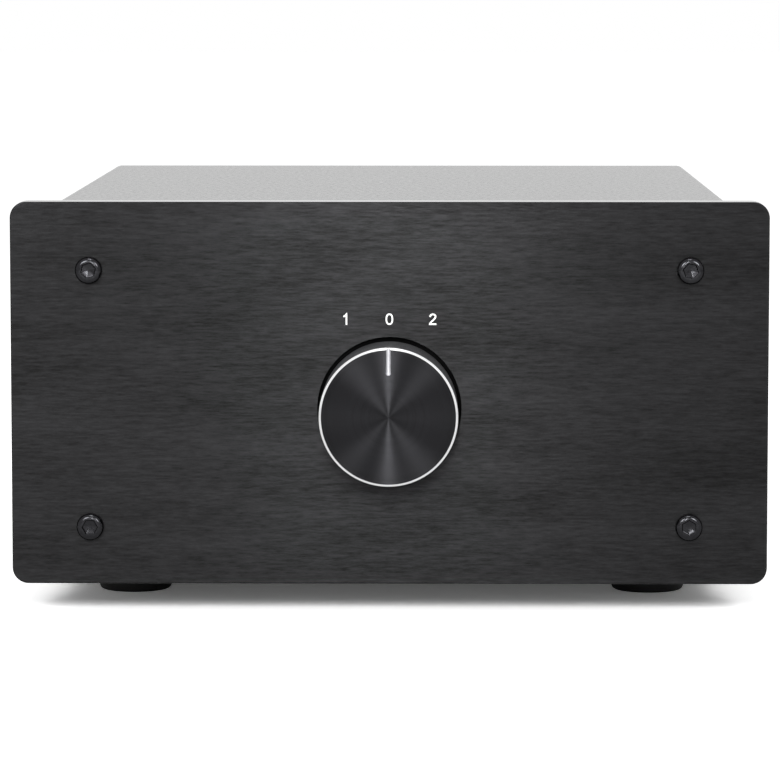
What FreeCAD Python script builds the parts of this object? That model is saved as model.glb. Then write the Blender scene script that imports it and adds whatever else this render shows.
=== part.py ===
"""Rotary speaker selector: a sheet-metal cabinet behind a thick aluminium front panel.

One knob turns a four-pole, three-way rotary switch (source 1, off, source 2).  Twelve screw
binding posts stand on the back in three groups of four: source 1, loudspeakers, source 2.

Millimetres.  +Z is up, the front faces -Y, +X is to the right seen from the front.  The origin
lies on the surface that the feet stand on, under the middle of the overall length and width.
Every piece is written to parts/NODE.step in its assembled place.
"""

import FreeCAD
import Part
import math
import os

# ---------------------------------------------------------------- driving dimensions (mm, degrees)
# Cabinet
panel_width = 150.0
panel_height = 76.0
panel_thickness = 6.0
panel_corner_radius = 3.2
panel_edge_radius = 0.25
case_width = 140.0
case_height = 74.0
body_depth = 205.0  # front panel's face to the back wall's face
sheet_thickness = 1.2
bend_radius = 0.9  # inside of a fold
fold_clearance = 0.3  # between the tray and the cover
lip_height = 12.0  # folded-up side edges of the tray
lip_end_gap = 4.0

# Feet
foot_height = 6.0
foot_top_diameter = 18.0
foot_bottom_diameter = 14.4
foot_edge_radius = 0.9
foot_side_inset = 17.0  # from the cabinet's sides
foot_front_setback = 36.0  # panel's face to the front feet
foot_rear_setback = 30.0  # back wall's face to the rear feet
foot_recess_diameter = 7.4
foot_recess_depth = 2.6

# M3 fasteners
screw_diameter = 3.0
thread_clearance = 0.05
hole_clearance = 0.2
nut_across_flats = 5.5
nut_thickness = 2.4
screw_end_past_nut = 0.8
cap_head_diameter = 5.4
cap_head_height = 2.0
cap_head_bevel = 0.6
hex_socket_across_flats = 2.5
hex_socket_depth = 1.4
pan_head_diameter = 5.6
pan_head_height = 1.9
pan_head_shoulder = 0.65  # height of the head's straight edge
pan_head_top_diameter = 3.5
cross_recess_width = 0.9
cross_recess_length = 3.2
cross_recess_depth = 1.0
panel_screw_side_inset = 10.6  # from the cabinet's sides
panel_screw_end_inset = 11.5  # from the cabinet's top and underside
cover_screw_height = 7.0  # above the cabinet's underside
cover_screw_inset = 32.0  # from each end of the cover
cover_screw_length = 5.0
PANEL_SCREW_TURNS = {  # angle of a corner of each hexagon socket, from +X
    ("bottom", "left"): 0.0,
    ("top", "left"): 16.0,
    ("bottom", "right"): 30.0,
    ("top", "right"): 50.0,
}

# Knob
knob_axis_height = 35.0  # above the panel's lower edge
knob_diameter = 27.1
knob_length = 15.3
knob_gap = 1.6  # between the knob and the panel
knob_recess_clearance = 0.75  # round the knob, in the panel's face
knob_recess_depth = 3.0
knob_rim_bevel = 0.55
knob_back_hollow_diameter = 18.0
knob_back_hollow_depth = 3.0
knob_bore_depth = 12.0
pointer_length = 5.5
pointer_width = 1.1
pointer_depth = 0.3
set_screw_diameter = 3.0
set_screw_length = 4.5
set_screw_key = 1.5
set_screw_setback = 7.0  # from the knob's back face

# Switch shaft and bushing
shaft_diameter = 6.0
shaft_clearance = 0.05
shaft_end_play = 0.6  # between the shaft's end and the knob's bore
shaft_flat_depth = 0.75
shaft_across_flats = 4.6
shaft_tail = 2.0  # past the rear wafer
bushing_diameter = 9.5
bushing_front_gap = 1.0  # end of the neck behind the panel's face
bushing_nut_across_flats = 14.0
bushing_nut_thickness = 2.0
bushing_nut_clearance = 0.6  # in the panel's opening
lock_washer_diameter = 15.0
lock_washer_thickness = 0.8
lock_washer_teeth = 12
lock_washer_slot_width = 0.8
lock_washer_slot_depth = 1.2
clip_groove_depth = 0.6
clip_outer_diameter = 10.4
clip_thickness = 0.7
clip_mouth = 4.4

# Switch body
plate_width = 30.0
plate_thickness = 2.0
plate_corner_radius = 6.0
plate_margin = 4.5  # plate past the tie rods
locating_pin_diameter = 3.0
locating_pin_offset = 12.0  # above the shaft
tie_rod_radius = 17.5  # from the shaft to each rod
tie_rod_diameter = 3.0
spacer_diameter = 5.4
front_spacer_length = 13.5
rear_spacer_length = 12.0
throw_angle = 30.0

# Click mechanism
wheel_diameter = 22.0
wheel_thickness = 3.0
wheel_gap = 1.0  # behind the plate
notch_radius = 1.8
notch_rise = 0.6  # centre of a notch outside the wheel's rim
notch_count = 5
nose_radius = 1.5
spring_angle = 90.0  # the spring's nose is above the shaft
stop_lug_angle = 270.0  # the lug points down
stop_lug_half_angle = 8.0
stop_lug_root = 3.0  # inside the wheel's rim
stop_lug_reach = 2.4
stop_pin_diameter = 3.0
stop_pin_clearance = 0.3  # from the wheel's rim
stop_slack_angle = 0.6
spring_thickness = 0.5
spring_width = 2.6
spring_span = 24.0
spring_post_diameter = 3.2

# Wafers, rotors and contacts
wafer_radius = 21.0
wafer_thickness = 1.6
rotor_radius = 10.0
rotor_clearance = 0.3
rotor_hub_radius = 5.0
rotor_hub_length = 2.0
blade_thickness = 0.4
blade_inner_radius = 5.6
blade_outer_radius = 8.0
blade_tab_radius = 9.7
blade_tab_half_angle = 9.0
blade_start_angle = -10.0  # from the pole's middle position
blade_end_angle = 132.0
common_angle = 90.0  # common contact, from the pole's middle position
contact_gap = 0.05
contact_thickness = 0.5
contact_width = 2.4
common_finger_radius = 6.8
throw_finger_radius = 8.6
rivet_radius_from_axis = 14.0
rivet_pad_diameter = 3.6
rivet_diameter = 1.8
rivet_head_thickness = 0.5
front_lug_radius = 29.5
rear_lug_radius = 24.5
lug_wire_inset = 2.0

# Binding posts (lengths run outwards from the back wall's face)
post_group_spacing = 44.0
post_spacing = 19.0
post_row_height = 37.0  # middle of the two rows, above the cabinet's underside
post_collar_diameter = 14.0
post_collar_length = 4.5
post_boss_diameter = 9.8
post_boss_clearance = 0.1
post_shoulder_depth = 1.5
post_stud_diameter = 8.0
post_stud_end = 23.4
post_shank_diameter = 5.9
post_running_clearance = 0.08
post_socket_diameter = 4.1
post_socket_depth = 13.4
wire_hole_diameter = 3.5
wire_hole_offset = 2.7  # past the collar
wire_hole_lean = 26.0  # from upright, so that a straight wire passes between the other posts
clamp_washer_diameter = 11.4
clamp_washer_thickness = 1.0
post_cap_diameter = 12.6
post_cap_length = 19.6
post_cap_end_wall = 1.4
post_cap_mouth_diameter = 5.2
post_cap_relief_diameter = 10.0  # room for bent wire round the cross hole
post_cap_relief_depth = 9.0
post_cap_edge_bevel = 0.6
post_flute_count = 18
post_flute_radius = 0.7
post_flute_depth = 0.45
post_flute_end_margin = 3.0
insulator_diameter = 13.0
insulator_thickness = 2.0
solder_tag_thickness = 0.8
solder_tag_ring_diameter = 10.4
solder_tag_width = 4.0
solder_tag_reach = 11.0
solder_tag_wire_inset = 2.2
post_nut_across_flats = 10.0
post_nut_thickness = 3.2
post_shank_past_nut = 1.5

# Wiring: each wire runs straight off its lug and straight into its tag, by way of two points
# given as (share of the way back, x over post_group_spacing, height over the shaft over
# post_spacing).
wire_diameter = 2.8
wire_straight = 10.0
wire_arc_share = 0.45  # share of a run that an arc may use
WIRE_POINTS = {
    ("source1", "left", "plus"): ((0.3, -0.59, 1.42), (0.7, -1.00, 1.32)),
    ("source1", "right", "plus"): ((0.35, -0.48, 1.05), (0.7, -0.68, 1.00)),
    ("source2", "left", "plus"): ((0.35, 0.45, 1.42), (0.7, 0.66, 1.37)),
    ("source2", "right", "plus"): ((0.35, 0.55, 0.89), (0.7, 1.00, 0.95)),
    ("speaker", "left", "plus"): ((0.35, -0.52, 0.26), (0.75, -0.32, 0.79)),
    ("speaker", "right", "plus"): ((0.35, -0.23, 0.47), (0.75, 0.16, 0.74)),
    ("source1", "left", "minus"): ((0.28, -0.05, -0.95), (0.62, -0.84, -1.05)),
    ("source1", "right", "minus"): ((0.28, 0.00, -0.66), (0.62, -0.57, -0.68)),
    ("source2", "left", "minus"): ((0.28, 0.00, -1.55), (0.62, 0.57, -1.47)),
    ("source2", "right", "minus"): ((0.28, 0.07, -1.26), (0.62, 0.84, -1.21)),
    ("speaker", "left", "minus"): ((0.35, 0.39, 0.21), (0.75, -0.11, -0.26)),
    ("speaker", "right", "minus"): ((0.35, 0.48, -0.21), (0.75, 0.27, -0.53)),
}

# ------------------------------------------------------------------------------ derived positions
panel_bottom = foot_height
panel_top = panel_bottom + panel_height
case_bottom = foot_height
case_top = case_bottom + case_height
case_middle = case_bottom + case_height / 2

knob_reach = knob_gap + knob_length
collar_face = post_collar_length
cap_start = collar_face + clamp_washer_thickness
post_reach = cap_start + post_cap_length
overall_depth = knob_reach + body_depth + post_reach
panel_face = knob_reach - overall_depth / 2
panel_back = panel_face + panel_thickness
back_face = panel_face + body_depth

axis_height = panel_bottom + knob_axis_height
wall_back = panel_back + sheet_thickness
knob_front = panel_face - knob_reach
knob_recess_radius = knob_diameter / 2 + knob_recess_clearance
nut_reach = max(bushing_nut_across_flats / math.sqrt(3), lock_washer_diameter / 2)
panel_opening_radius = nut_reach + bushing_nut_clearance
knob_back = panel_face - knob_gap
shaft_front = knob_back - knob_bore_depth + shaft_end_play
plate_back = wall_back + plate_thickness
wheel_front = plate_back + wheel_gap
wheel_back = wheel_front + wheel_thickness
front_wafer_face = plate_back + front_spacer_length
rear_wafer_face = front_wafer_face + wafer_thickness + rear_spacer_length
shaft_back = rear_wafer_face + wafer_thickness + shaft_tail
stack_back = rear_wafer_face + wafer_thickness

tray_width = case_width - 2 * sheet_thickness - 2 * fold_clearance
tray_top = case_top - sheet_thickness - fold_clearance
screw_radius = screw_diameter / 2
screw_hole_radius = screw_radius + hole_clearance
shaft_radius = shaft_diameter / 2
shaft_hole_radius = shaft_radius + shaft_clearance
stud_radius = post_stud_diameter / 2
shank_radius = post_shank_diameter / 2
inner_wall = back_face - sheet_thickness
tag_back = inner_wall - insulator_thickness
tag_face = tag_back - solder_tag_thickness
WAFERS = {  # channel: (front face, reach of the lugs)
    "left": (front_wafer_face, front_lug_radius),
    "right": (rear_wafer_face, rear_lug_radius),
}
post_inner_end = tag_face - post_nut_thickness - post_shank_past_nut

GROUPS = {"source1": -post_group_spacing, "speaker": 0.0, "source2": post_group_spacing}
CHANNELS = {"left": -post_spacing / 2, "right": post_spacing / 2}
ROWS = {"plus": post_spacing / 2, "minus": -post_spacing / 2}
POLES = {"plus": 90.0, "minus": 270.0}  # middle position of each pole, in degrees
CONTACTS = {"source1": throw_angle, "source2": -throw_angle, "speaker": common_angle}


# -------------------------------------------------------------------------------- shape helpers
def vec(x, y, z):
    """A point or direction."""
    return FreeCAD.Vector(x, y, z)


def block(x0, x1, y0, y1, z0, z1):
    """Box between two corners."""
    return Part.makeBox(x1 - x0, y1 - y0, z1 - z0, vec(x0, y0, z0))


def rod_y(radius, y0, y1, x=0.0, z=axis_height):
    """Cylinder along Y."""
    return Part.makeCylinder(radius, y1 - y0, vec(x, y0, z), vec(0, 1, 0))


def rod_z(radius, z0, z1, x, y):
    """Cylinder along Z."""
    return Part.makeCylinder(radius, z1 - z0, vec(x, y, z0), vec(0, 0, 1))


def ring_y(outer, inner, y0, y1, x=0.0, z=axis_height):
    """Tube along Y."""
    return rod_y(outer, y0, y1, x, z).cut(rod_y(inner, y0 - 1, y1 + 1, x, z))


def turned_y(profile, x=0.0, z=axis_height):
    """Solid of revolution about a line along Y, from (radius, y) corners."""
    corners = [vec(x + r, y, z) for r, y in profile]
    face = Part.Face(Part.makePolygon(corners + corners[:1]))
    return face.revolve(vec(x, 0, z), vec(0, 1, 0), 360)


def turned_z(profile, x, y):
    """Solid of revolution about a line along Z, from (radius, z) corners."""
    corners = [vec(x + r, y, z) for r, z in profile]
    face = Part.Face(Part.makePolygon(corners + corners[:1]))
    return face.revolve(vec(x, y, 0), vec(0, 0, 1), 360)


def prism_y(corners, y0, y1):
    """Prism along Y on (x, z) corners."""
    points = [vec(x, y0, z) for x, z in corners]
    face = Part.Face(Part.makePolygon(points + points[:1]))
    return face.extrude(vec(0, y1 - y0, 0))


def hexagon(across_flats, x=0.0, z=0.0, turn=0.0):
    """Corners of a hexagon."""
    reach = across_flats / math.sqrt(3)
    return [on_circle(reach, turn + 60 * k, x, z) for k in range(6)]


def on_circle(radius, angle, x=0.0, z=axis_height):
    """(x, z) at an angle in degrees, seen from the front, anticlockwise from +X."""
    a = math.radians(angle)
    return x + radius * math.cos(a), z + radius * math.sin(a)


def sector_y(inner, outer, start, end, y0, y1):
    """Part of a flat ring around the shaft, between two angles."""
    full = Part.makeCylinder(outer, y1 - y0, vec(0, y0, axis_height), vec(0, 1, 0), end - start)
    centre = full.CenterOfMass
    middle = math.degrees(math.atan2(centre.z - axis_height, centre.x))
    return turn(full, (start + end) / 2 - middle).cut(rod_y(inner, y0 - 1, y1 + 1))


def turn(shape, angle, x=0.0, z=axis_height):
    """The shape turned anticlockwise, seen from the front."""
    copy = shape.copy()
    copy.rotate(vec(x, 0, z), vec(0, 1, 0), -angle)
    return copy


def join(shapes):
    """One solid from touching or overlapping shapes."""
    whole = shapes[0].multiFuse(shapes[1:]) if len(shapes) > 1 else shapes[0]
    return whole.removeSplitter()


def edges_along(shape, direction):
    """Straight edges parallel to a direction."""
    found = []
    for edge in shape.Edges:
        if isinstance(edge.Curve, Part.Line):
            if edge.tangentAt(edge.FirstParameter).cross(direction).Length < 1e-6:
                found.append(edge)
    return found


def edges_at_y(shape, y):
    """Edges that lie in the plane of one Y."""
    return [
        e for e in shape.Edges if abs(e.BoundBox.YMin - y) < 1e-6 and abs(e.BoundBox.YMax - y) < 1e-6
    ]


def rounded_plate(width, z0, z1, y0, y1, corner):
    """Flat plate facing -Y with rounded corners."""
    plate = block(-width / 2, width / 2, y0, y1, z0, z1)
    return plate.makeFillet(corner, edges_along(plate, vec(0, 1, 0)))


def save(node, solids):
    """Writes one node from its separate solids."""
    bodies = []
    for shape in solids:
        bodies += shape.Solids
    shape = bodies[0] if len(bodies) == 1 else Part.makeCompound(bodies)
    shape.exportStep(os.path.join("parts", node + ".step"))


# --------------------------------------------------------------------------------------- cabinet
def panel_screw_places():
    """{(level, side): (x, z)} of the four front screws."""
    return {
        (level, side): (
            (1 if side == "right" else -1) * (case_width / 2 - panel_screw_side_inset),
            case_middle + (1 if level == "top" else -1) * (case_height / 2 - panel_screw_end_inset),
        )
        for level, side in PANEL_SCREW_TURNS
    }


def foot_places():
    """(x, y) of the four feet."""
    rows = (panel_face + foot_front_setback, back_face - foot_rear_setback)
    return [(sx * (case_width / 2 - foot_side_inset), y) for sx in (-1, 1) for y in rows]


def cover_screw_places():
    """(side, y) of the four side screws."""
    rows = (panel_back + cover_screw_inset, back_face - cover_screw_inset)
    return [(side, y) for side in (-1, 1) for y in rows]


def post_places():
    """{(group, channel, row): (x, z)} of the twelve binding posts."""
    return {
        (group, channel, row): (gx + cx, case_bottom + post_row_height + rz)
        for group, gx in GROUPS.items()
        for channel, cx in CHANNELS.items()
        for row, rz in ROWS.items()
    }


def front_panel():
    """Thick faceplate: softened front edges, a recess round the knob, a switch opening, holes."""
    plate = rounded_plate(
        panel_width, panel_bottom, panel_top, panel_face, panel_back, panel_corner_radius
    )
    plate = plate.makeFillet(panel_edge_radius, edges_at_y(plate, panel_face))
    holes = [
        rod_y(knob_recess_radius, panel_face - 1, panel_face + knob_recess_depth),
        rod_y(panel_opening_radius, panel_face - 1, panel_back + 1),
    ]
    for x, z in panel_screw_places().values():
        holes.append(rod_y(screw_hole_radius, panel_face - 1, panel_back + 1, x, z))
    return plate.cut(holes)


def base_tray():
    """Folded sheet: floor, front wall, back wall and two low side lips."""
    outer = block(-tray_width / 2, tray_width / 2, panel_back, back_face, case_bottom, tray_top)
    folds = [e for e in edges_along(outer, vec(1, 0, 0)) if e.BoundBox.ZMax < case_bottom + 1e-6]
    outer = outer.makeFillet(bend_radius + sheet_thickness, folds)
    floor_top = case_bottom + sheet_thickness
    inner = block(-tray_width, tray_width, wall_back, inner_wall, floor_top, tray_top + 1)
    folds = [e for e in edges_along(inner, vec(1, 0, 0)) if e.BoundBox.ZMax < floor_top + 1e-6]
    tray = outer.cut(inner.makeFillet(bend_radius, folds))
    lips = []
    for side in (-1, 1):
        edge = side * tray_width / 2
        inside = edge - side * sheet_thickness
        x0, x1 = min(edge, inside), max(edge, inside)
        y0, y1 = wall_back + lip_end_gap, inner_wall - lip_end_gap
        lips.append(block(x0, x1, y0, y1, case_bottom, case_bottom + lip_height))
    tray = join([tray] + lips)
    return tray.cut(tray_holes())


def tray_holes():
    """Every hole in the tray."""
    holes = [rod_y(bushing_diameter / 2 + hole_clearance, panel_back - 1, wall_back + 1)]
    pin_z = axis_height + locating_pin_offset
    pin_hole = locating_pin_diameter / 2 + hole_clearance
    holes.append(rod_y(pin_hole, panel_back - 1, wall_back + 1, 0, pin_z))
    for x, z in panel_screw_places().values():
        holes.append(rod_y(screw_hole_radius, panel_back - 1, wall_back + 1, x, z))
    for x, y in foot_places():
        holes.append(
            rod_z(screw_hole_radius, case_bottom - 1, case_bottom + sheet_thickness + 1, x, y)
        )
    boss_hole = post_boss_diameter / 2 + post_boss_clearance
    for x, z in post_places().values():
        holes.append(rod_y(boss_hole, inner_wall - 1, back_face + 1, x, z))
    for side, y in cover_screw_places():
        start = vec(side * (tray_width / 2 - 2 * sheet_thickness), y, cover_screw_z())
        tapped = screw_radius + thread_clearance
        holes.append(Part.makeCylinder(tapped, 4 * sheet_thickness, start, vec(side, 0, 0)))
    return holes


def cover_screw_z():
    """Height of the cover's side screws."""
    return case_bottom + cover_screw_height


def top_cover():
    """Folded sheet: the top and both sides."""
    outer = block(-case_width / 2, case_width / 2, panel_back, back_face, case_bottom, case_top)
    folds = [e for e in edges_along(outer, vec(0, 1, 0)) if e.BoundBox.ZMin > case_top - 1e-6]
    outer = outer.makeFillet(bend_radius + sheet_thickness, folds)
    half = case_width / 2 - sheet_thickness
    roof = case_top - sheet_thickness
    inner = block(-half, half, panel_back - 1, back_face + 1, case_bottom - 1, roof)
    folds = [e for e in edges_along(inner, vec(0, 1, 0)) if e.BoundBox.ZMin > roof - 1e-6]
    cover = outer.cut(inner.makeFillet(bend_radius, folds))
    holes = []
    for side, y in cover_screw_places():
        start = vec(side * (half - 1), y, cover_screw_z())
        reach = sheet_thickness + 2
        holes.append(Part.makeCylinder(screw_hole_radius, reach, start, vec(side, 0, 0)))
    return cover.cut(holes)


def rubber_foot(x, y):
    """Tapered foot with a recess for its screw."""
    bottom = foot_bottom_diameter / 2
    body = turned_z(
        [(0, 0), (bottom, 0), (foot_top_diameter / 2, foot_height), (0, foot_height)], x, y
    )
    lower = [e for e in body.Edges if e.BoundBox.ZMax < 1e-6]
    body = body.makeFillet(foot_edge_radius, lower)
    recess = rod_z(foot_recess_diameter / 2, -1, foot_recess_depth, x, y)
    return body.cut([recess, rod_z(screw_hole_radius, -1, foot_height + 1, x, y)])


# ------------------------------------------------------------------------------------ fasteners
def cross_recess(reach):
    """Cross-shaped driver recess, as a tool at the origin that opens towards -Z."""
    long, wide = cross_recess_length / 2, cross_recess_width / 2
    arms = [block(-long, long, -wide, wide, -reach, 0), block(-wide, wide, -long, long, -reach, 0)]
    return arms[0].fuse(arms[1])


def pan_head_screw(length):
    """Cross-recessed screw at the origin: head above Z=0, thread below."""
    radius = pan_head_diameter / 2
    head = turned_z(
        [(0, 0), (radius, 0), (radius, pan_head_shoulder),
         (pan_head_top_diameter / 2, pan_head_height), (0, pan_head_height)],
        0, 0,
    )
    recess = cross_recess(cross_recess_depth)
    recess.translate(vec(0, 0, pan_head_height))
    return join([head.cut(recess), rod_z(screw_radius, -length, 0, 0, 0)])


def foot_screw(x, y):
    """Screw from below through a foot and the tray's floor into its nut."""
    grip = foot_height - foot_recess_depth + sheet_thickness
    screw = pan_head_screw(grip + nut_thickness + screw_end_past_nut)
    screw.rotate(vec(0, 0, 0), vec(1, 0, 0), 180)
    screw.translate(vec(x, y, foot_recess_depth))
    return screw


def cover_screw(side, y):
    """Screw from one side through the cover into the tray's lip."""
    screw = pan_head_screw(cover_screw_length)
    screw.rotate(vec(0, 0, 0), vec(0, 1, 0), 90 * side)
    screw.translate(vec(side * case_width / 2, y, cover_screw_z()))
    return screw


def socket_screw(x, z, socket_turn):
    """Socket-head screw through the front panel and the tray's wall into its nut."""
    radius = cap_head_diameter / 2
    front = panel_face - cap_head_height
    head = turned_y(
        [(0, panel_face), (radius, panel_face), (radius, front + cap_head_bevel),
         (radius - cap_head_bevel, front), (0, front)],
        x, z,
    )
    end = wall_back + nut_thickness + screw_end_past_nut
    shank = rod_y(screw_radius, panel_face, end, x, z)
    corners = hexagon(hex_socket_across_flats, x, z, socket_turn)
    socket = prism_y(corners, front - 1, front + hex_socket_depth)
    return join([head, shank]).cut(socket)


def m3_nut():
    """Hexagon nut lying on Z=0 at the origin."""
    corners = [vec(x, y, 0) for x, y in hexagon(nut_across_flats)]
    body = Part.Face(Part.makePolygon(corners + corners[:1])).extrude(vec(0, 0, nut_thickness))
    return body.cut(rod_z(screw_radius + thread_clearance, -1, nut_thickness + 1, 0, 0))


def hex_nuts():
    """The nuts of the feet and of the front panel."""
    nuts = []
    for x, y in foot_places():
        nut = m3_nut()
        nut.translate(vec(x, y, case_bottom + sheet_thickness))
        nuts.append(nut)
    for x, z in panel_screw_places().values():
        nut = m3_nut()
        nut.rotate(vec(0, 0, 0), vec(1, 0, 0), -90)
        nut.translate(vec(x, wall_back, z))
        nuts.append(nut)
    return nuts


# ----------------------------------------------------------------------------------------- knob
def selector_knob():
    """Turned aluminium knob with a bevelled rim, a pointer groove and a blind bore."""
    radius = knob_diameter / 2
    body = turned_y([
        (0, knob_back), (radius, knob_back), (radius, knob_front + knob_rim_bevel),
        (radius - knob_rim_bevel, knob_front), (0, knob_front),
    ])
    hollow = rod_y(knob_back_hollow_diameter / 2, knob_back - knob_back_hollow_depth, knob_back + 1)
    bore = rod_y(shaft_hole_radius, knob_back - knob_bore_depth, knob_back + 1)
    groove_top = axis_height + radius + 1
    groove_end = axis_height + radius - knob_rim_bevel - pointer_length + pointer_width / 2
    half = pointer_width / 2
    groove_depth = knob_front + pointer_depth
    groove = block(-half, half, knob_front - 1, groove_depth, groove_end, groove_top)
    round_end = rod_y(half, knob_front - 1, groove_depth, 0, groove_end)
    screw_y = knob_back - set_screw_setback
    tapped = rod_z(set_screw_diameter / 2 + thread_clearance, axis_height - radius - 1, axis_height,
                   0, screw_y)
    return body.cut([hollow, bore, groove.fuse(round_end), tapped])


def set_screw():
    """Headless screw that holds the knob on the shaft's flat."""
    top = axis_height - shaft_radius + shaft_flat_depth - thread_clearance
    y = knob_back - set_screw_setback
    body = rod_z(set_screw_diameter / 2, top - set_screw_length, top, 0, y)
    corners = [vec(x, y + dy, 0) for x, dy in hexagon(set_screw_key)]
    key = Part.Face(Part.makePolygon(corners + corners[:1])).extrude(vec(0, 0, set_screw_length / 2))
    key.translate(vec(0, 0, top - set_screw_length))
    return body.cut(key)


# --------------------------------------------------------------------------- shaft and bushing
def flatted_bar(y0, y1, clearance=0.0):
    """Round bar with two flats, which drives the click wheel and the rotors."""
    half = shaft_across_flats / 2 + clearance
    radius = shaft_radius + clearance
    return rod_y(radius, y0, y1).common(
        block(-half, half, y0, y1, axis_height - 2 * radius, axis_height + 2 * radius)
    )


def clip_y():
    """(front, back) of the retaining clip, in the gap behind the plate."""
    middle = (plate_back + wheel_front) / 2
    return middle - clip_thickness / 2, middle + clip_thickness / 2


def switch_shaft():
    """Shaft with a flat for the knob's screw, a clip groove and a flatted tail."""
    round_part = rod_y(shaft_radius, shaft_front, wheel_front)
    tail = flatted_bar(wheel_front, shaft_back)
    shaft = join([round_part, tail])
    flat_top = axis_height - shaft_radius + shaft_flat_depth
    flat = block(-shaft_radius, shaft_radius, shaft_front - 1, knob_back - knob_back_hollow_depth,
                 axis_height - 2 * shaft_radius, flat_top)
    front, back = clip_y()
    groove = ring_y(shaft_radius + 1, shaft_radius - clip_groove_depth, front - shaft_clearance,
                    back + shaft_clearance)
    return shaft.cut([flat, groove])


def shaft_clip():
    """Open ring that sits in the shaft's groove."""
    front, back = clip_y()
    inner = shaft_radius - clip_groove_depth + shaft_clearance
    ring = ring_y(clip_outer_diameter / 2, inner, front, back)
    mouth = block(-clip_outer_diameter, 0, front - 1, back + 1, axis_height - clip_mouth / 2,
                  axis_height + clip_mouth / 2)
    return ring.cut(mouth)


def switch_plate():
    """Die-cast front plate: threaded neck, locating pin, stops and spring posts."""
    reach = tie_rod_radius + plate_margin
    plate = rounded_plate(plate_width, axis_height - reach, axis_height + reach, wall_back,
                          plate_back, plate_corner_radius)
    neck = rod_y(bushing_diameter / 2, panel_face + bushing_front_gap, plate_back)
    pin_z = axis_height + locating_pin_offset
    pin = rod_y(locating_pin_diameter / 2, panel_back, plate_back, 0, pin_z)
    pieces = [plate, neck, pin]
    for x, z in stop_pin_places():
        pieces.append(rod_y(stop_pin_diameter / 2, wall_back, wheel_back, x, z))
    for side in (-1, 1):
        pieces.append(
            rod_y(spring_post_diameter / 2, wall_back, wheel_back, side * spring_span / 2,
                  spring_post_height())
        )
    tools = [rod_y(shaft_hole_radius, panel_face, wheel_front)]
    for z in tie_rod_heights():
        tools.append(rod_y(tie_rod_diameter / 2 + thread_clearance, wall_back - 1, plate_back + 1, 0, z))
    return join(pieces).cut(tools)


def stop_pin_places():
    """(x, z) of the two end stops, each one throw away from the wheel's lug."""
    radius = wheel_diameter / 2 + stop_pin_clearance + stop_pin_diameter / 2
    pin_half_angle = math.degrees(math.asin(stop_pin_diameter / 2 / radius))
    away = throw_angle + stop_lug_half_angle + pin_half_angle + stop_slack_angle
    return [on_circle(radius, stop_lug_angle + side * away) for side in (-1, 1)]


def tie_rod_heights():
    """Z of the two tie rods, above and below the shaft."""
    return (axis_height + tie_rod_radius, axis_height - tie_rod_radius)


def bushing_nut():
    """Hexagon nut on the neck, in the front panel's opening."""
    back = panel_back - lock_washer_thickness
    corners = hexagon(bushing_nut_across_flats, 0, axis_height)
    body = prism_y(corners, back - bushing_nut_thickness, back)
    bore = bushing_diameter / 2 + thread_clearance
    return body.cut(rod_y(bore, back - bushing_nut_thickness - 1, back + 1))


def lock_washer():
    """Toothed washer between the nut and the tray's wall."""
    front = panel_back - lock_washer_thickness
    bore = bushing_diameter / 2 + 2 * thread_clearance
    washer = ring_y(lock_washer_diameter / 2, bore, front, panel_back)
    half = lock_washer_slot_width / 2
    slot = block(lock_washer_diameter / 2 - lock_washer_slot_depth, lock_washer_diameter, front - 1,
                 panel_back + 1, axis_height - half, axis_height + half)
    return washer.cut([turn(slot, 360 * k / lock_washer_teeth) for k in range(lock_washer_teeth)])


# ------------------------------------------------------------------------------ click mechanism
def detent_wheel():
    """Notched wheel with one lug that meets the end stops."""
    radius = wheel_diameter / 2
    disc = rod_y(radius, wheel_front, wheel_back)
    start = stop_lug_angle - stop_lug_half_angle
    end = stop_lug_angle + stop_lug_half_angle
    lug = sector_y(radius - stop_lug_root, radius + stop_lug_reach, start, end, wheel_front,
                   wheel_back)
    notches = []
    for k in range(notch_count):
        angle = spring_angle + (k - (notch_count - 1) / 2) * throw_angle
        x, z = on_circle(notch_circle_radius(), angle)
        notches.append(rod_y(notch_radius, wheel_front - 1, wheel_back + 1, x, z))
    bore = flatted_bar(wheel_front - 1, wheel_back + 1, shaft_clearance)
    return join([disc, lug]).cut(notches + [bore])


def notch_circle_radius():
    """Distance from the shaft to the middle of each notch."""
    return wheel_diameter / 2 + notch_rise


def spring_post_height():
    """Z of the spring posts: the leaf rests against their undersides."""
    return leaf_bottom() + spring_thickness + spring_post_diameter / 2 + contact_gap


def leaf_bottom():
    """Z of the leaf's underside, just clear of the wheel."""
    return axis_height + wheel_diameter / 2 + 2 * contact_gap


def detent_spring():
    """Leaf spring with a round nose that drops into the wheel's notches."""
    y0 = wheel_front + (wheel_thickness - spring_width) / 2
    y1 = y0 + spring_width
    half = spring_span / 2 + spring_post_diameter / 2
    leaf = block(-half, half, y0, y1, leaf_bottom(), leaf_bottom() + spring_thickness)
    nose_z = axis_height + notch_circle_radius()
    nose = rod_y(nose_radius, y0, y1, 0, nose_z)
    head_room = block(-half, half, y0 - 1, y1 + 1, leaf_bottom() + spring_thickness,
                      axis_height + 2 * wheel_diameter)
    return join([leaf, nose.cut(head_room)])


# ------------------------------------------------------------------- wafers, rotors and contacts
def wafer(face):
    """Insulating wafer with openings for the rotor, the tie rods and the rivets."""
    disc = rod_y(wafer_radius, face, face + wafer_thickness)
    tools = [rod_y(rotor_radius + rotor_clearance, face - 1, face + wafer_thickness + 1)]
    for z in tie_rod_heights():
        hole = tie_rod_diameter / 2 + thread_clearance
        tools.append(rod_y(hole, face - 1, face + wafer_thickness + 1, 0, z))
    for angle in contact_angles().values():
        x, z = on_circle(rivet_radius_from_axis, angle)
        hole = rivet_diameter / 2 + thread_clearance
        tools.append(rod_y(hole, face - 1, face + wafer_thickness + 1, x, z))
    return disc.cut(tools)


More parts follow.
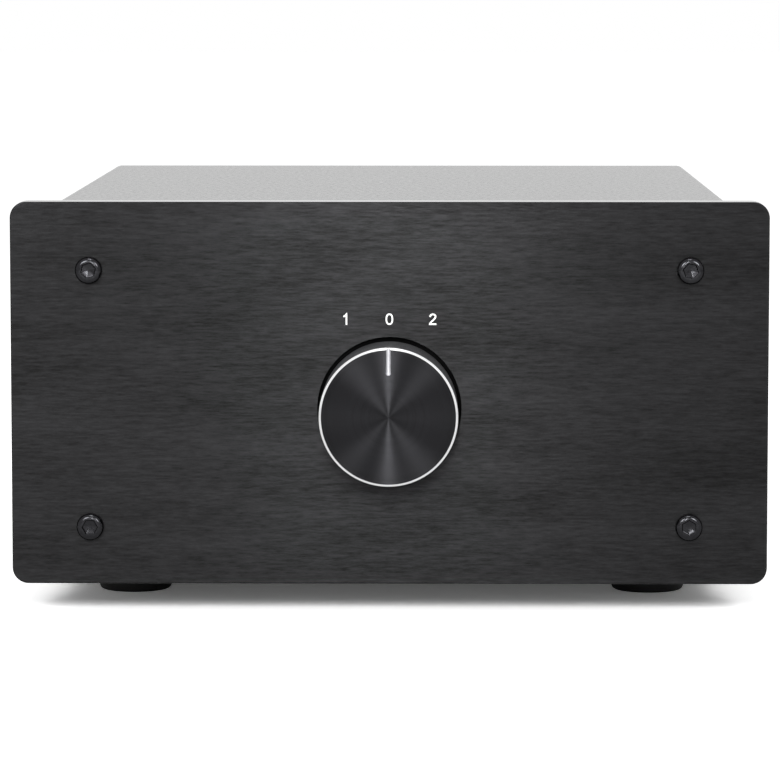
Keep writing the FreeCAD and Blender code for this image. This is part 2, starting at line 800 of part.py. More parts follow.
def contact_angles():
    """{(group, row): angle} of one wafer's six contacts: each pole switches one row of posts."""
    return {
        (group, row): pole + offset
        for row, pole in POLES.items()
        for group, offset in CONTACTS.items()
    }


def rotor(face):
    """Insulating disc that carries the blades, with a hub on the shaft."""
    disc = rod_y(rotor_radius, face, face + wafer_thickness)
    hub = rod_y(rotor_hub_radius, face - rotor_hub_length, face)
    bore = flatted_bar(face - rotor_hub_length - 1, face + wafer_thickness + 1, shaft_clearance)
    return join([disc, hub]).cut(bore)


def blades(face):
    """The two blades on one rotor: each a ring sector with a tab at the pole's position."""
    back = face + wafer_thickness
    made = []
    for pole in POLES.values():
        ring = sector_y(blade_inner_radius, blade_outer_radius, pole + blade_start_angle,
                        pole + blade_end_angle, back, back + blade_thickness)
        half = blade_tab_half_angle
        tab = sector_y(blade_inner_radius, blade_tab_radius, pole - half, pole + half, back,
                       back + blade_thickness)
        made.append(join([ring, tab]))
    return made


def contact(face, angle, common, lug_radius):
    """Riveted contact: a finger over the rotor and a solder lug past the wafer's edge."""
    under = face + wafer_thickness
    front = under + blade_thickness + contact_gap
    back = front + contact_thickness
    finger = common_finger_radius if common else throw_finger_radius
    half = contact_width / 2
    strip = block(finger, lug_radius, front, back, axis_height - half, axis_height + half)
    x, z = rivet_radius_from_axis, axis_height
    pad = rod_y(rivet_pad_diameter / 2, under, back, x, z)
    rivet = rod_y(rivet_diameter / 2, face - rivet_head_thickness, under, x, z)
    head = rod_y(rivet_pad_diameter / 2, face - rivet_head_thickness, face, x, z)
    return turn(join([strip, pad, rivet, head]), angle)


def contacts():
    """All twelve contacts."""
    made = []
    for face, lug_radius in WAFERS.values():
        for (group, _), angle in contact_angles().items():
            made.append(contact(face, angle, group == "speaker", lug_radius))
    return made


def lug_back(face):
    """Y of the back of the contacts on the wafer at a face."""
    return face + wafer_thickness + blade_thickness + contact_gap + contact_thickness


def spacers():
    """Tubes on the tie rods, between the plate and the wafers."""
    gaps = ((plate_back, front_wafer_face), (front_wafer_face + wafer_thickness, rear_wafer_face))
    bore = tie_rod_diameter / 2 + thread_clearance
    return [
        ring_y(spacer_diameter / 2, bore, y0, y1, 0, z) for z in tie_rod_heights() for y0, y1 in gaps
    ]


def tie_rods():
    """Two threaded rods that hold the switch together."""
    end = stack_back + nut_thickness + screw_end_past_nut
    return [rod_y(tie_rod_diameter / 2, wall_back, end, 0, z) for z in tie_rod_heights()]


def tie_rod_nuts():
    """Nuts at the back of the tie rods."""
    nuts = []
    for z in tie_rod_heights():
        body = prism_y(hexagon(nut_across_flats, 0, z), stack_back, stack_back + nut_thickness)
        bore = tie_rod_diameter / 2 + thread_clearance
        nuts.append(body.cut(rod_y(bore, stack_back - 1, stack_back + nut_thickness + 1, 0, z)))
    return nuts


# -------------------------------------------------------------------------------- binding posts
def wire_hole_y():
    """Middle of the cross hole for bare wire."""
    return back_face + collar_face + wire_hole_offset


def wire_hole_direction():
    """Direction of the cross hole."""
    lean = math.radians(wire_hole_lean)
    return vec(math.sin(lean), 0, math.cos(lean))


def post_stud(x, z):
    """Metal stud: a cross hole for wire, a plug socket in its end and a shank through the wall."""
    shoulder = back_face + post_shoulder_depth
    end = back_face + post_stud_end
    thick = rod_y(stud_radius, shoulder, end, x, z)
    shank = rod_y(shank_radius, post_inner_end, shoulder, x, z)
    socket = rod_y(post_socket_diameter / 2, end - post_socket_depth, end + 1, x, z)
    centre = vec(x, wire_hole_y(), z)
    along = wire_hole_direction()
    cross = Part.makeCylinder(wire_hole_diameter / 2, 2 * post_stud_diameter,
                              centre - along * post_stud_diameter, along)
    return join([thick, shank]).cut([socket, cross])


def post_collar(x, z):
    """Coloured insulating collar with a boss through the back wall."""
    outer = post_collar_diameter / 2
    bevel = post_cap_edge_bevel
    body = turned_y([
        (0, back_face), (outer, back_face), (outer, back_face + collar_face - bevel),
        (outer - bevel, back_face + collar_face), (0, back_face + collar_face),
    ], x, z)
    boss = rod_y(post_boss_diameter / 2, inner_wall, back_face, x, z)
    shoulder = back_face + post_shoulder_depth
    wide = rod_y(stud_radius + thread_clearance, shoulder, back_face + collar_face + 1, x, z)
    narrow = rod_y(shank_radius + thread_clearance, inner_wall - 1, shoulder + 1, x, z)
    return join([body, boss]).cut([wide, narrow])


def clamp_washer(x, z):
    """Loose washer that the cap presses on a wire or spade."""
    front = back_face + collar_face
    return ring_y(clamp_washer_diameter / 2, stud_radius + post_running_clearance, front,
                  front + clamp_washer_thickness, x, z)


def post_cap(x, z):
    """Fluted screw cap with an open end for a plug."""
    radius = post_cap_diameter / 2
    bevel = post_cap_edge_bevel
    front = back_face + cap_start
    end = front + post_cap_length
    body = turned_y([
        (0, front), (radius, front), (radius, end - bevel), (radius - bevel, end), (0, end),
    ], x, z)
    inner_end = end - post_cap_end_wall
    tools = [
        rod_y(post_cap_relief_diameter / 2, front - 1, front + post_cap_relief_depth, x, z),
        rod_y(stud_radius + post_running_clearance, front, inner_end, x, z),
        rod_y(post_cap_mouth_diameter / 2, front, end + 1, x, z),
    ]
    flute_circle = radius + post_flute_radius - post_flute_depth
    for k in range(post_flute_count):
        fx, fz = on_circle(flute_circle, 360 * k / post_flute_count, x, z)
        tools.append(rod_y(post_flute_radius, front + post_flute_end_margin,
                           end - post_flute_end_margin, fx, fz))
    return body.cut(tools)


def insulator(x, z):
    """Insulating washer inside the back wall."""
    return ring_y(insulator_diameter / 2, shank_radius + thread_clearance, tag_back, inner_wall, x, z)


def solder_tag(x, z, side):
    """Ring tag with a tail that points away from the middle of the two rows."""
    half = solder_tag_width / 2
    ring = rod_y(solder_tag_ring_diameter / 2, tag_face, tag_back, x, z)
    tip = z + side * solder_tag_reach
    tail = block(x - half, x + half, tag_face, tag_back, min(z, tip), max(z, tip))
    bore = rod_y(shank_radius + thread_clearance, tag_face - 1, tag_back + 1, x, z)
    return join([ring, tail]).cut(bore)


def post_nut(x, z):
    """Nut that clamps the tag and the insulator."""
    back = tag_face
    front = back - post_nut_thickness
    body = prism_y(hexagon(post_nut_across_flats, x, z), front, back)
    return body.cut(rod_y(shank_radius + thread_clearance, front - 1, back + 1, x, z))


# --------------------------------------------------------------------------------------- wiring
def smooth_path(points):
    """Straight runs joined by tangent arcs, as one wire."""
    edges = []
    start = points[0]
    for before, corner, after in zip(points, points[1:], points[2:]):
        into = (corner - before).normalize()
        out = (after - corner).normalize()
        bend = into.getAngle(out)
        run = min((corner - before).Length, (after - corner).Length)
        setback = wire_arc_share * run
        radius = setback / math.tan(bend / 2)
        first = corner - into * setback
        last = corner + out * setback
        towards = (out - into).normalize()
        middle = corner + towards * (radius / math.cos(bend / 2) - radius)
        edges.append(Part.LineSegment(start, first).toShape())
        edges.append(Part.Arc(first, middle, last).toShape())
        start = last
    edges.append(Part.LineSegment(start, points[-1]).toShape())
    return Part.Wire(edges)


def wire_tube(points):
    """Round insulated wire along a smooth path."""
    path = smooth_path(points)
    section = Part.Wire(
        Part.makeCircle(wire_diameter / 2, points[0], points[1] - points[0])
    )
    return path.makePipeShell([section], True, False)


def wire_points(group, channel, row):
    """Points of one wire, from its switch lug to its solder tag."""
    face, lug_radius = WAFERS[channel]
    x0, z0 = on_circle(lug_radius - lug_wire_inset, contact_angles()[(group, row)])
    x1, z1 = post_places()[(group, channel, row)]
    z1 += tag_side(row) * (solder_tag_reach - solder_tag_wire_inset)
    y0 = lug_back(rear_wafer_face) + wire_straight
    y1 = tag_face - wire_straight
    points = [vec(x0, lug_back(face), z0), vec(x0, y0, z0)]
    for share, across, up in WIRE_POINTS[(group, channel, row)]:
        points.append(vec(across * post_group_spacing, y0 + share * (y1 - y0),
                          axis_height + up * post_spacing))
    return points + [vec(x1, y1, z1), vec(x1, tag_face, z1)]


def tag_side(row):
    """Direction of a solder tag's tail: 1 is up, -1 is down."""
    return 1 if row == "plus" else -1


# -------------------------------------------------------------------------------------- assembly
def post_name(group, channel, row):
    """Name of one binding post."""
    return "_".join((group, channel, row))


def main():
    """Builds and writes every node."""
    os.makedirs("parts", exist_ok=True)
    save("front_panel", [front_panel()])
    screws = panel_screw_places()
    save("panel_screws", [socket_screw(x, z, PANEL_SCREW_TURNS[k]) for k, (x, z) in screws.items()])
    save("base_tray", [base_tray()])
    save("top_cover", [top_cover()])
    save("cover_screws", [cover_screw(side, y) for side, y in cover_screw_places()])
    save("rubber_feet", [rubber_foot(x, y) for x, y in foot_places()])
    save("foot_screws", [foot_screw(x, y) for x, y in foot_places()])
    save("m3_nuts", hex_nuts())

    save("selector_knob", [selector_knob()])
    save("knob_set_screw", [set_screw()])
    save("switch_shaft", [switch_shaft()])
    save("shaft_clip", [shaft_clip()])
    save("switch_plate", [switch_plate()])
    save("bushing_nut", [bushing_nut()])
    save("lock_washer", [lock_washer()])
    save("detent_wheel", [detent_wheel()])
    save("detent_spring", [detent_spring()])
    for name, (face, _) in zip(("front", "rear"), WAFERS.values()):
        save(name + "_wafer", [wafer(face)])
        save(name + "_rotor", [rotor(face)])
        save(name + "_blades", blades(face))
    save("switch_contacts", contacts())
    save("wafer_spacers", spacers())
    save("tie_rods", tie_rods())
    save("tie_rod_nuts", tie_rod_nuts())

    posts = post_places()
    for colour, row in (("red", "plus"), ("black", "minus")):
        places = [place for key, place in posts.items() if key[2] == row]
        save("post_collars_" + colour, [post_collar(x, z) for x, z in places])
        wires = [wire_tube(wire_points(*key)) for key in posts if key[2] == row]
        save("wires_" + colour, wires)
    save("post_studs", [post_stud(x, z) for x, z in posts.values()])
    save("post_insulators", [insulator(x, z) for x, z in posts.values()])
    save("post_nuts", [post_nut(x, z) for x, z in posts.values()])
    save("solder_tags", [solder_tag(x, z, tag_side(key[2])) for key, (x, z) in posts.items()])
    for key, (x, z) in posts.items():
        save(post_name(*key) + "_cap", [post_cap(x, z)])
        save(post_name(*key) + "_washer", [clamp_washer(x, z)])


main()
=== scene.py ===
"""Looks of a desktop loudspeaker selector: black anodised front, turned knob, binding posts."""

import logging
import math
from collections.abc import Iterable, Sequence
from dataclasses import dataclass, field
from enum import Enum

import bmesh
import bpy
from bpy.types import GeometryNodeTree, Material, Mesh, Node, NodeSocket, NodeTree, Object
from mathutils import Matrix, Vector


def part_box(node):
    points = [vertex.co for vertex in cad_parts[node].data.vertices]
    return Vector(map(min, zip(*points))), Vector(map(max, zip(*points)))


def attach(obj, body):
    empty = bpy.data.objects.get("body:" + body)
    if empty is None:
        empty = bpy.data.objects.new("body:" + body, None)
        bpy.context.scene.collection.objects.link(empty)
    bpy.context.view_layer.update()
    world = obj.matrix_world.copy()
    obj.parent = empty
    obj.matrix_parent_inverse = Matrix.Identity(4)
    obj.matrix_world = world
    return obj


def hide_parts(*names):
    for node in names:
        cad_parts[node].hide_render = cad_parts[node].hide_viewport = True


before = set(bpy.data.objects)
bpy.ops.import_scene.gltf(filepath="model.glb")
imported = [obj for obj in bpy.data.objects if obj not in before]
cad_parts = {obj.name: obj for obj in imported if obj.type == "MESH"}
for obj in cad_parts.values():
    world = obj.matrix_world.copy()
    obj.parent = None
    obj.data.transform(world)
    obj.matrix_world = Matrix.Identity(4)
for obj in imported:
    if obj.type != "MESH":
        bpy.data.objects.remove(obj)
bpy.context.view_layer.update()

MM = 0.001  # metres in a millimetre
WELD = 0.001 * MM  # vertices that lie nearer than this are one
WHITE = (1.0, 1.0, 1.0, 1.0)
LOG = logging.getLogger("speaker_selector")
Point = tuple[float, float, float]
Profile = Sequence[tuple[float, float]]
Pattern = tuple[Node, float, float]  # a node's value, and where its effect starts and ends
Patterns = tuple[Pattern, Pattern, Node, dict[str, object]]


# ---- small helpers
def srgb(hex_colour: str) -> tuple[float, float, float, float]:
    """Turns a written colour into the linear one that a shader needs.

    Args:
        hex_colour: Six hex digits, as in "1a1a1c".

    Returns:
        Linear red, green, blue and an alpha of 1.
    """
    def linear(value: int) -> float:
        """Undoes the sRGB curve of one channel."""
        part = value / 255
        return part / 12.92 if part <= 0.04045 else ((part + 0.055) / 1.055) ** 2.4

    red, green, blue = (linear(int(hex_colour[k:k + 2], 16)) for k in (0, 2, 4))
    return red, green, blue, 1.0


def per_metre(size_mm: float) -> float:
    """Noise scale that gives a pattern of a real size on coordinates in metres."""
    return 1 / (size_mm * MM)


def add_node(tree: NodeTree, kind: str, inputs: dict | None = None, **settings: object) -> Node:
    """Adds one node to a shader or geometry tree.

    Args:
        tree: The tree that gets the node.
        kind: The node's type, such as "ShaderNodeBump".
        inputs: Socket name or number to a value, an output socket, or a node, which stands for
            its first output.
        **settings: Properties of the node itself.

    Returns:
        The new node.
    """
    node = tree.nodes.new(kind)
    for key, value in settings.items():
        setattr(node, key, value)
    for key, value in (inputs or {}).items():
        if isinstance(value, Node):
            value = value.outputs[0]
        if isinstance(value, NodeSocket):
            tree.links.new(value, node.inputs[key])
        else:
            node.inputs[key].default_value = value
    return node


def empty_tree(holder: bpy.types.ID) -> NodeTree:
    """Gives a material or a world a tree without nodes.

    Args:
        holder: The material or world.

    Returns:
        Its tree.
    """
    holder.use_nodes = True
    holder.node_tree.nodes.clear()
    return holder.node_tree


def about_axis(tree: NodeTree, place: NodeSocket,
               centre: NodeSocket | Point) -> tuple[NodeSocket, Node, bpy.types.NodeOutputs]:
    """Adds where a point lies about an axis along Y.

    Args:
        tree: A shader or geometry tree.
        place: The point.
        centre: A point on the axis.

    Returns:
        Its distance from the axis, its direction from there, and the three parts of its way
        from the centre.
    """
    arm = add_node(tree, "ShaderNodeVectorMath", {0: place, 1: centre}, operation="SUBTRACT")
    flat = add_node(tree, "ShaderNodeVectorMath", {0: arm, 1: (1, 0, 1)}, operation="MULTIPLY")
    reach = add_node(tree, "ShaderNodeVectorMath", {0: flat}, operation="LENGTH")
    outward = add_node(tree, "ShaderNodeVectorMath", {0: flat}, operation="NORMALIZE")
    parts = add_node(tree, "ShaderNodeSeparateXYZ", {0: arm}).outputs
    return reach.outputs["Value"], outward, parts


def new_object(name: str, data: bpy.types.ID) -> Object:
    """Puts a mesh, a curve, a lamp or a camera in the scene, at the origin.

    Args:
        name: Name of the object.
        data: What it shows.

    Returns:
        The object.
    """
    made = bpy.data.objects.new(name, data)
    bpy.context.scene.collection.objects.link(made)
    return made


def smooth(mesh: Mesh, sharp_degrees: float) -> None:
    """Shades a mesh smooth, apart from edges sharper than an angle."""
    mesh.polygons.foreach_set("use_smooth", [True] * len(mesh.polygons))
    mesh.set_sharp_from_angle(angle=math.radians(sharp_degrees))


def bridge(shape: bmesh.types.BMesh, rings: Sequence[Sequence[bmesh.types.BMVert]],
           closed: bool = False) -> None:
    """Joins each ring of vertices to the next with faces.

    Args:
        shape: The shape that holds them.
        rings: Rings of as many vertices, or of one, which is a pole.
        closed: True where the last ring joins the first.
    """
    pairs = list(zip(rings, rings[1:])) + ([(rings[-1], rings[0])] if closed else [])
    for first, second in pairs:
        count = max(len(first), len(second))
        for k in range(count):
            after = (k + 1) % count
            corners = dict.fromkeys((first[k % len(first)], first[after % len(first)],
                                     second[after % len(second)], second[k % len(second)]))
            if len(corners) > 2:
                shape.faces.new(tuple(corners))


def kept_mesh(name: str, shape: bmesh.types.BMesh, weld: bool = False) -> Mesh:
    """Turns a shape's faces outwards and keeps it as a mesh.

    Args:
        name: Name of the mesh.
        shape: The shape, which is freed.
        weld: True to merge its doubles first.

    Returns:
        The mesh.
    """
    if weld:
        bmesh.ops.remove_doubles(shape, verts=shape.verts, dist=WELD)
    bmesh.ops.recalc_face_normals(shape, faces=shape.faces)
    mesh = bpy.data.meshes.new(name)
    shape.to_mesh(mesh)
    shape.free()
    return mesh


def joined(name: str, meshes: Iterable[Mesh]) -> Mesh:
    """Joins meshes into one and clears the doubles inside each.

    Args:
        name: Name of the new mesh.
        meshes: The meshes, which stay.

    Returns:
        The new mesh.
    """
    shape = bmesh.new()
    for mesh in meshes:
        shape.from_mesh(mesh)
    return kept_mesh(name, shape, weld=True)


def arc(centre: tuple[float, float], radius: float, start: float, end: float,
        steps: int) -> list[tuple[float, float]]:
    """Points of an arc in a section, by its centre, radius and end angles in degrees."""
    angles = (math.radians(start + (end - start) * k / steps) for k in range(steps + 1))
    return [(centre[0] + radius * math.cos(a), centre[1] + radius * math.sin(a)) for a in angles]


def turned_mesh(name: str, profile: Profile, segments: int, centre: Point) -> Mesh:
    """Makes a closed turned form about an axis along Y.

    Args:
        name: Name of the mesh.
        profile: (radius, y) pairs along the section; a radius of 0 closes on the axis.
        segments: Points around.
        centre: A point on the axis; y is added to the profile's.

    Returns:
        The mesh, in metres, with its faces outwards.
    """
    shape = bmesh.new()
    rings = []
    for radius, along in profile:
        angles = (2 * math.pi * k / segments for k in range(segments if radius else 1))
        rings.append([shape.verts.new((centre[0] + radius * math.cos(a), centre[1] + along,
                                       centre[2] + radius * math.sin(a))) for a in angles])
    bridge(shape, rings, closed=profile[0][0] != 0 and profile[-1][0] != 0)
    return kept_mesh(name, shape)


def evaluated_mesh(thing: Object) -> Mesh:
    """Mesh of an object as its modifiers make it, or of a text."""
    graph = bpy.context.evaluated_depsgraph_get()
    return bpy.data.meshes.new_from_object(thing.evaluated_get(graph))


def baked(piece: Object) -> Object:
    """Replaces a piece's mesh by what its modifiers make.

    Args:
        piece: The piece, which loses its modifiers.

    Returns:
        The same piece.
    """
    mesh = evaluated_mesh(piece)
    piece.modifiers.clear()
    piece.data = mesh
    return piece


# ---- geometry trees
def new_tree(name: str, inputs: dict[str, str]) -> tuple[GeometryNodeTree, dict]:
    """Starts a Geometry Nodes tree.

    Args:
        name: Name of the tree.
        inputs: Input name to socket kind, such as "Float".

    Returns:
        The tree, and its inputs' sockets by name.
    """
    tree = bpy.data.node_groups.new(name, "GeometryNodeTree")
    for label, kind in {"Geometry": "Geometry", **inputs}.items():
        tree.interface.new_socket(label, in_out="INPUT", socket_type="NodeSocket" + kind)
    tree.interface.new_socket("Geometry", in_out="OUTPUT", socket_type="NodeSocketGeometry")
    return tree, {socket.name: socket for socket in add_node(tree, "NodeGroupInput").outputs}


def end_tree(tree: GeometryNodeTree, geometry: Node, finish: NodeSocket) -> GeometryNodeTree:
    """Ends a tree in real geometry with one finish.

    Args:
        tree: The tree.
        geometry: The node that makes the shape.
        finish: The material.

    Returns:
        The same tree.
    """
    real = add_node(tree, "GeometryNodeRealizeInstances", {"Geometry": geometry})
    dressed = add_node(tree, "GeometryNodeSetMaterial", {"Geometry": real, "Material": finish})
    add_node(tree, "NodeGroupOutput", {"Geometry": dressed})
    return tree


def run_tree(piece: Object, tree: GeometryNodeTree, values: dict[str, object]) -> Object:
    """Runs a Geometry Nodes tree on a piece and keeps the result as its mesh.

    Args:
        piece: The object that the tree works on.
        tree: The tree.
        values: Input name to value.

    Returns:
        The same piece, with a plain mesh.
    """
    modifier = piece.modifiers.new(tree.name, "NODES")
    modifier.node_group = tree
    for item in tree.interface.items_tree:
        if item.item_type == "SOCKET" and item.in_out == "INPUT" and item.name in values:
            modifier[item.identifier] = values[item.name]
    return baked(piece)


def flute_tree() -> GeometryNodeTree:
    """Presses evenly spaced round flutes into the rim of a turned form about an axis along Y.

    Returns:
        A tree with the inputs Axis, Count, Depth, Rim, From, To, Fade and Finish, in metres.
    """
    sizes = dict.fromkeys(("Count", "Depth", "Rim", "From", "To", "Fade"), "Float")
    tree, given = new_tree("pressed_flutes", {"Axis": "Vector", **sizes, "Finish": "Material"})
    place = add_node(tree, "GeometryNodeInputPosition").outputs[0]
    reach, outward, parts = about_axis(tree, place, given["Axis"])
    angle = add_node(tree, "ShaderNodeMath", {0: parts["Z"], 1: parts["X"]}, operation="ARCTAN2")
    turns = add_node(tree, "ShaderNodeMath", {0: angle, 1: given["Count"]}, operation="MULTIPLY")
    wave = add_node(tree, "ShaderNodeMath", {0: turns}, operation="COSINE")
    uncut = -0.25  # what is lower in the wave stays a smooth rib
    factors = [add_node(tree, "ShaderNodeMapRange", {"Value": wave, "From Min": uncut},
                        interpolation_type="SMOOTHSTEP")]
    for end, inwards in (("From", "ADD"), ("To", "SUBTRACT")):
        full = add_node(tree, "ShaderNodeMath", {0: given[end], 1: given["Fade"]},
                        operation=inwards)
        factors.append(add_node(tree, "ShaderNodeMapRange", {
            "Value": parts["Y"], "From Min": given[end], "From Max": full},
            interpolation_type="SMOOTHSTEP"))
    factors.append(add_node(tree, "ShaderNodeMath", {0: reach, 1: given["Rim"]},
                            operation="GREATER_THAN"))
    depth = given["Depth"]
    for factor in (*factors, -1.0):
        depth = add_node(tree, "ShaderNodeMath", {0: depth, 1: factor}, operation="MULTIPLY")
    shift = add_node(tree, "ShaderNodeVectorMath", {0: outward, "Scale": depth}, operation="SCALE")
    moved = add_node(tree, "GeometryNodeSetPosition", {
        "Geometry": given["Geometry"], "Offset": shift})
    return end_tree(tree, moved, given["Finish"])


def fastener_tree() -> GeometryNodeTree:
    """Puts one fastener on each point, turned about Y by the point's "turn" attribute.

    Returns:
        A tree with the inputs Fastener and Finish.
    """
    tree, given = new_tree("fasteners_on_points", {"Fastener": "Object", "Finish": "Material"})
    model = add_node(tree, "GeometryNodeObjectInfo", {"Object": given["Fastener"]})
    turn = add_node(tree, "GeometryNodeInputNamedAttribute", {"Name": "turn"}, data_type="FLOAT")
    angles = add_node(tree, "ShaderNodeCombineXYZ", {"Y": turn})
    rotation = add_node(tree, "FunctionNodeEulerToRotation", {"Euler": angles})
    placed = add_node(tree, "GeometryNodeInstanceOnPoints", {
        "Points": given["Geometry"], "Instance": model.outputs["Geometry"],
        "Rotation": rotation})
    return end_tree(tree, placed, given["Finish"])


# ---- finishes
class Lay(Enum):
    """Direction that a tool left its lines in."""

    LENGTHWAYS = "straight lines along X"
    TURNED = "rings around an axis along Y"


@dataclass(frozen=True)
class Finish:
    """What every finish has: two shades, a gloss and a fine relief."""

    name: str
    colours: tuple[str, str]
    roughness: float = 0.2
    roughness_spread: float = 0.04
    depth_mm: float = 0.002

    def patterns(self, tree: NodeTree, place: NodeSocket) -> Patterns:
        """Adds what varies over the surface.

        Args:
            tree: The material's tree.
            place: Object coordinates.

        Returns:
            What leads from the first shade to the second, what leads from glossy to dull, the
            height of the relief, and more inputs of the shader.
        """
        raise NotImplementedError

    def build(self) -> Material:
        """Makes the material.

        Returns:
            The material.
        """
        material = bpy.data.materials.new(self.name)
        tree = empty_tree(material)
        place = add_node(tree, "ShaderNodeTexCoord").outputs["Object"]
        shade, gloss, relief, more = self.patterns(tree, place)
        tone = add_node(tree, "ShaderNodeValToRGB", {"Fac": shade[0]})
        for k, colour in enumerate(self.colours):
            tone.color_ramp.elements[k].position = shade[k + 1]
            tone.color_ramp.elements[k].color = srgb(colour)
        rough = add_node(tree, "ShaderNodeMapRange", {
            "Value": gloss[0], "From Min": gloss[1], "From Max": gloss[2],
            "To Min": self.roughness - self.roughness_spread,
            "To Max": self.roughness + self.roughness_spread})
        bump = add_node(tree, "ShaderNodeBump", {
            "Height": relief, "Strength": 1.0, "Distance": self.depth_mm * MM})
        body = add_node(tree, "ShaderNodeBsdfPrincipled", {
            "Base Color": tone, "Roughness": rough, "Normal": bump, **more})
        add_node(tree, "ShaderNodeOutputMaterial", {"Surface": body})
        return material


@dataclass(frozen=True)
class MachinedMetal(Finish):
    """Aluminium or steel whose tool lines stretch the highlights across them.

    A black one is dyed or blackened: its colour is the dark metal that shows through.
    """

    roughness: float = 0.34
    roughness_spread: float = 0.03
    lay: Lay = Lay.LENGTHWAYS
    stretch: float = 0.9
    line_mm: float = 0.38  # real lines are about 0.1 mm apart, here coarse enough to show
    line_length_mm: float = 3.2
    band_mm: float = 7.0
    band_stretch: float = 6.0
    band_share: float = 0.35  # of the fine lines' weight
    lean: float = 0.01  # tips the tangent, so that it never lies along a wall's normal
    centre: Point = (0.0, 0.0, 0.0)

    def across_lines(self, tree: NodeTree, place: NodeSocket) -> tuple[Node, Node, Node]:
        """Adds the coordinates that follow the lines.

        Args:
            tree: The material's tree.
            place: Object coordinates.

        Returns:
            Coordinates of the fine lines, those of the wide bands, and the tangent.
        """
        fine, wide = per_metre(self.line_mm), per_metre(self.band_mm)
        if self.lay is Lay.LENGTHWAYS:
            long = per_metre(self.line_length_mm)
            lines, bands = (
                add_node(tree, "ShaderNodeMapping", {"Vector": place, "Scale": scale})
                for scale in ((long, fine, fine), (wide / self.band_stretch, wide, wide)))
            return lines, bands, add_node(tree, "ShaderNodeTangent", direction_type="RADIAL",
                                          axis="X")
        reach, outward, parts = about_axis(tree, place, self.centre)
        section = add_node(tree, "ShaderNodeCombineXYZ", {"X": reach, "Y": parts["Y"]})
        lines, bands = (
            add_node(tree, "ShaderNodeVectorMath", {0: section, "Scale": scale},
                     operation="SCALE") for scale in (fine, wide))
        leaned = add_node(tree, "ShaderNodeVectorMath", {0: outward, 1: (0, self.lean, 0)},
                          operation="ADD")
        across = add_node(tree, "ShaderNodeVectorTransform", {"Vector": leaned},
                          vector_type="VECTOR", convert_from="OBJECT", convert_to="WORLD")
        return lines, bands, across

    def patterns(self, tree: NodeTree, place: NodeSocket) -> Patterns:
        """Adds fine lines over faint bands, and an anisotropic shine.

        Args:
            tree: The material's tree.
            place: Object coordinates.

        Returns:
            As for every finish; a lighter line is also glossier.
        """
        lines, bands, across = self.across_lines(tree, place)
        fine = add_node(tree, "ShaderNodeTexNoise", {
            "Vector": lines, "Scale": 1.0, "Detail": 4.0, "Roughness": 0.75})
        wide = add_node(tree, "ShaderNodeTexNoise", {"Vector": bands, "Scale": 1.0, "Detail": 1.0})
        grain = add_node(tree, "ShaderNodeMath", {0: wide, 1: self.band_share, 2: fine},
                         operation="MULTIPLY_ADD")
        dark, light = 0.45, 0.9  # most of the grain lies between them
        shine = {"Metallic": 1.0, "Anisotropic": self.stretch, "Tangent": across}
        return (grain, dark, light), (grain, light, dark), fine, shine


@dataclass(frozen=True)
class PebbledCoat(Finish):
    """Paint, plastic or rubber with a fine pebbled skin and a faint cloudiness."""

    ior: float = 1.5
    pebble_mm: float = 0.5
    cloud_mm: float = 30.0

    def patterns(self, tree: NodeTree, place: NodeSocket) -> Patterns:
        """Adds clouds in the colour, and pebbles in the gloss and the relief.

        Args:
            tree: The material's tree.
            place: Object coordinates.

        Returns:
            As for every finish.
        """
        cloud, pebble = (
            add_node(tree, "ShaderNodeTexNoise", {
                "Vector": place, "Scale": per_metre(size), "Detail": detail})
            for size, detail in ((self.cloud_mm, 3.0), (self.pebble_mm, 2.0)))
        return (cloud, 0.35, 0.65), (pebble, 0.3, 0.7), pebble, {"IOR": self.ior}


@dataclass(frozen=True)
class PlatedMetal(Finish):
    """Bright plating over a machined part: a clean metal with faint clouds and hairlines."""

    roughness: float = 0.22
    roughness_spread: float = 0.08
    depth_mm: float = 0.001
    cloud_mm: float = 3.0

    def patterns(self, tree: NodeTree, place: NodeSocket) -> Patterns:
        """Adds clouds in the colour, the gloss and the relief.

        Args:
            tree: The material's tree.
            place: Object coordinates.

        Returns:
            As for every finish.
        """
        cloud = add_node(tree, "ShaderNodeTexNoise", {
            "Vector": place, "Scale": per_metre(self.cloud_mm), "Detail": 6.0, "Roughness": 0.65})
        return (cloud, 0.35, 0.7), (cloud, 0.3, 0.7), cloud, {"Metallic": 1.0}


# Screen ink: a clean, nearly white mark without gloss.
PRINT = PebbledCoat("white_screen_print", ("f2f2f0", "fafaf8"), roughness=0.5, depth_mm=0.001,
                    pebble_mm=0.2, cloud_mm=2.0)


def dress(finish: Finish, *nodes: str) -> Material:
    """Gives CAD nodes one material all over.

    Args:
        finish: The material's finish.
        *nodes: Names of the nodes.

    Returns:
        The material.
    """
    material = finish.build()
    for node in nodes:
        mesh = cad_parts[node].data
        mesh.materials.clear()
        mesh.materials.append(material)
    return material


def centre_of(node: str) -> Vector:
    """Middle of a CAD node's box."""
    low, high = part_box(node)
    return (low + high) / 2


# ---- printing
def text_mesh(words: str, cap_height: float, thickness: float, place: Point) -> Mesh:
    """Makes flat printed characters that stand up and look to +Y.

    Args:
        words: The characters.
        cap_height: Height of a capital, in metres.
        thickness: Thickness of the ink, in metres.
        place: Middle of the characters, on the printed face.

    Returns:
        The mesh, in place.
    """
    capital_share = 0.729  # of the built-in font's size
    curve = bpy.data.curves.new("mark", "FONT")
    curve.body = words
    curve.size = cap_height / capital_share
    curve.extrude = thickness / 2
    curve.align_x = "CENTER"
    curve.resolution_u = 4
    holder = new_object("mark", curve)
    bpy.context.view_layer.update()
    mesh = evaluated_mesh(holder)
    bpy.data.objects.remove(holder)
    upright = Matrix.Rotation(math.radians(90), 4, "X")
    about = Matrix.Rotation(math.radians(180), 4, "Z")
    drop = Vector((0, 0, -cap_height / 2))
    mesh.transform(Matrix.Translation(Vector(place) + drop) @ about @ upright)
    return mesh


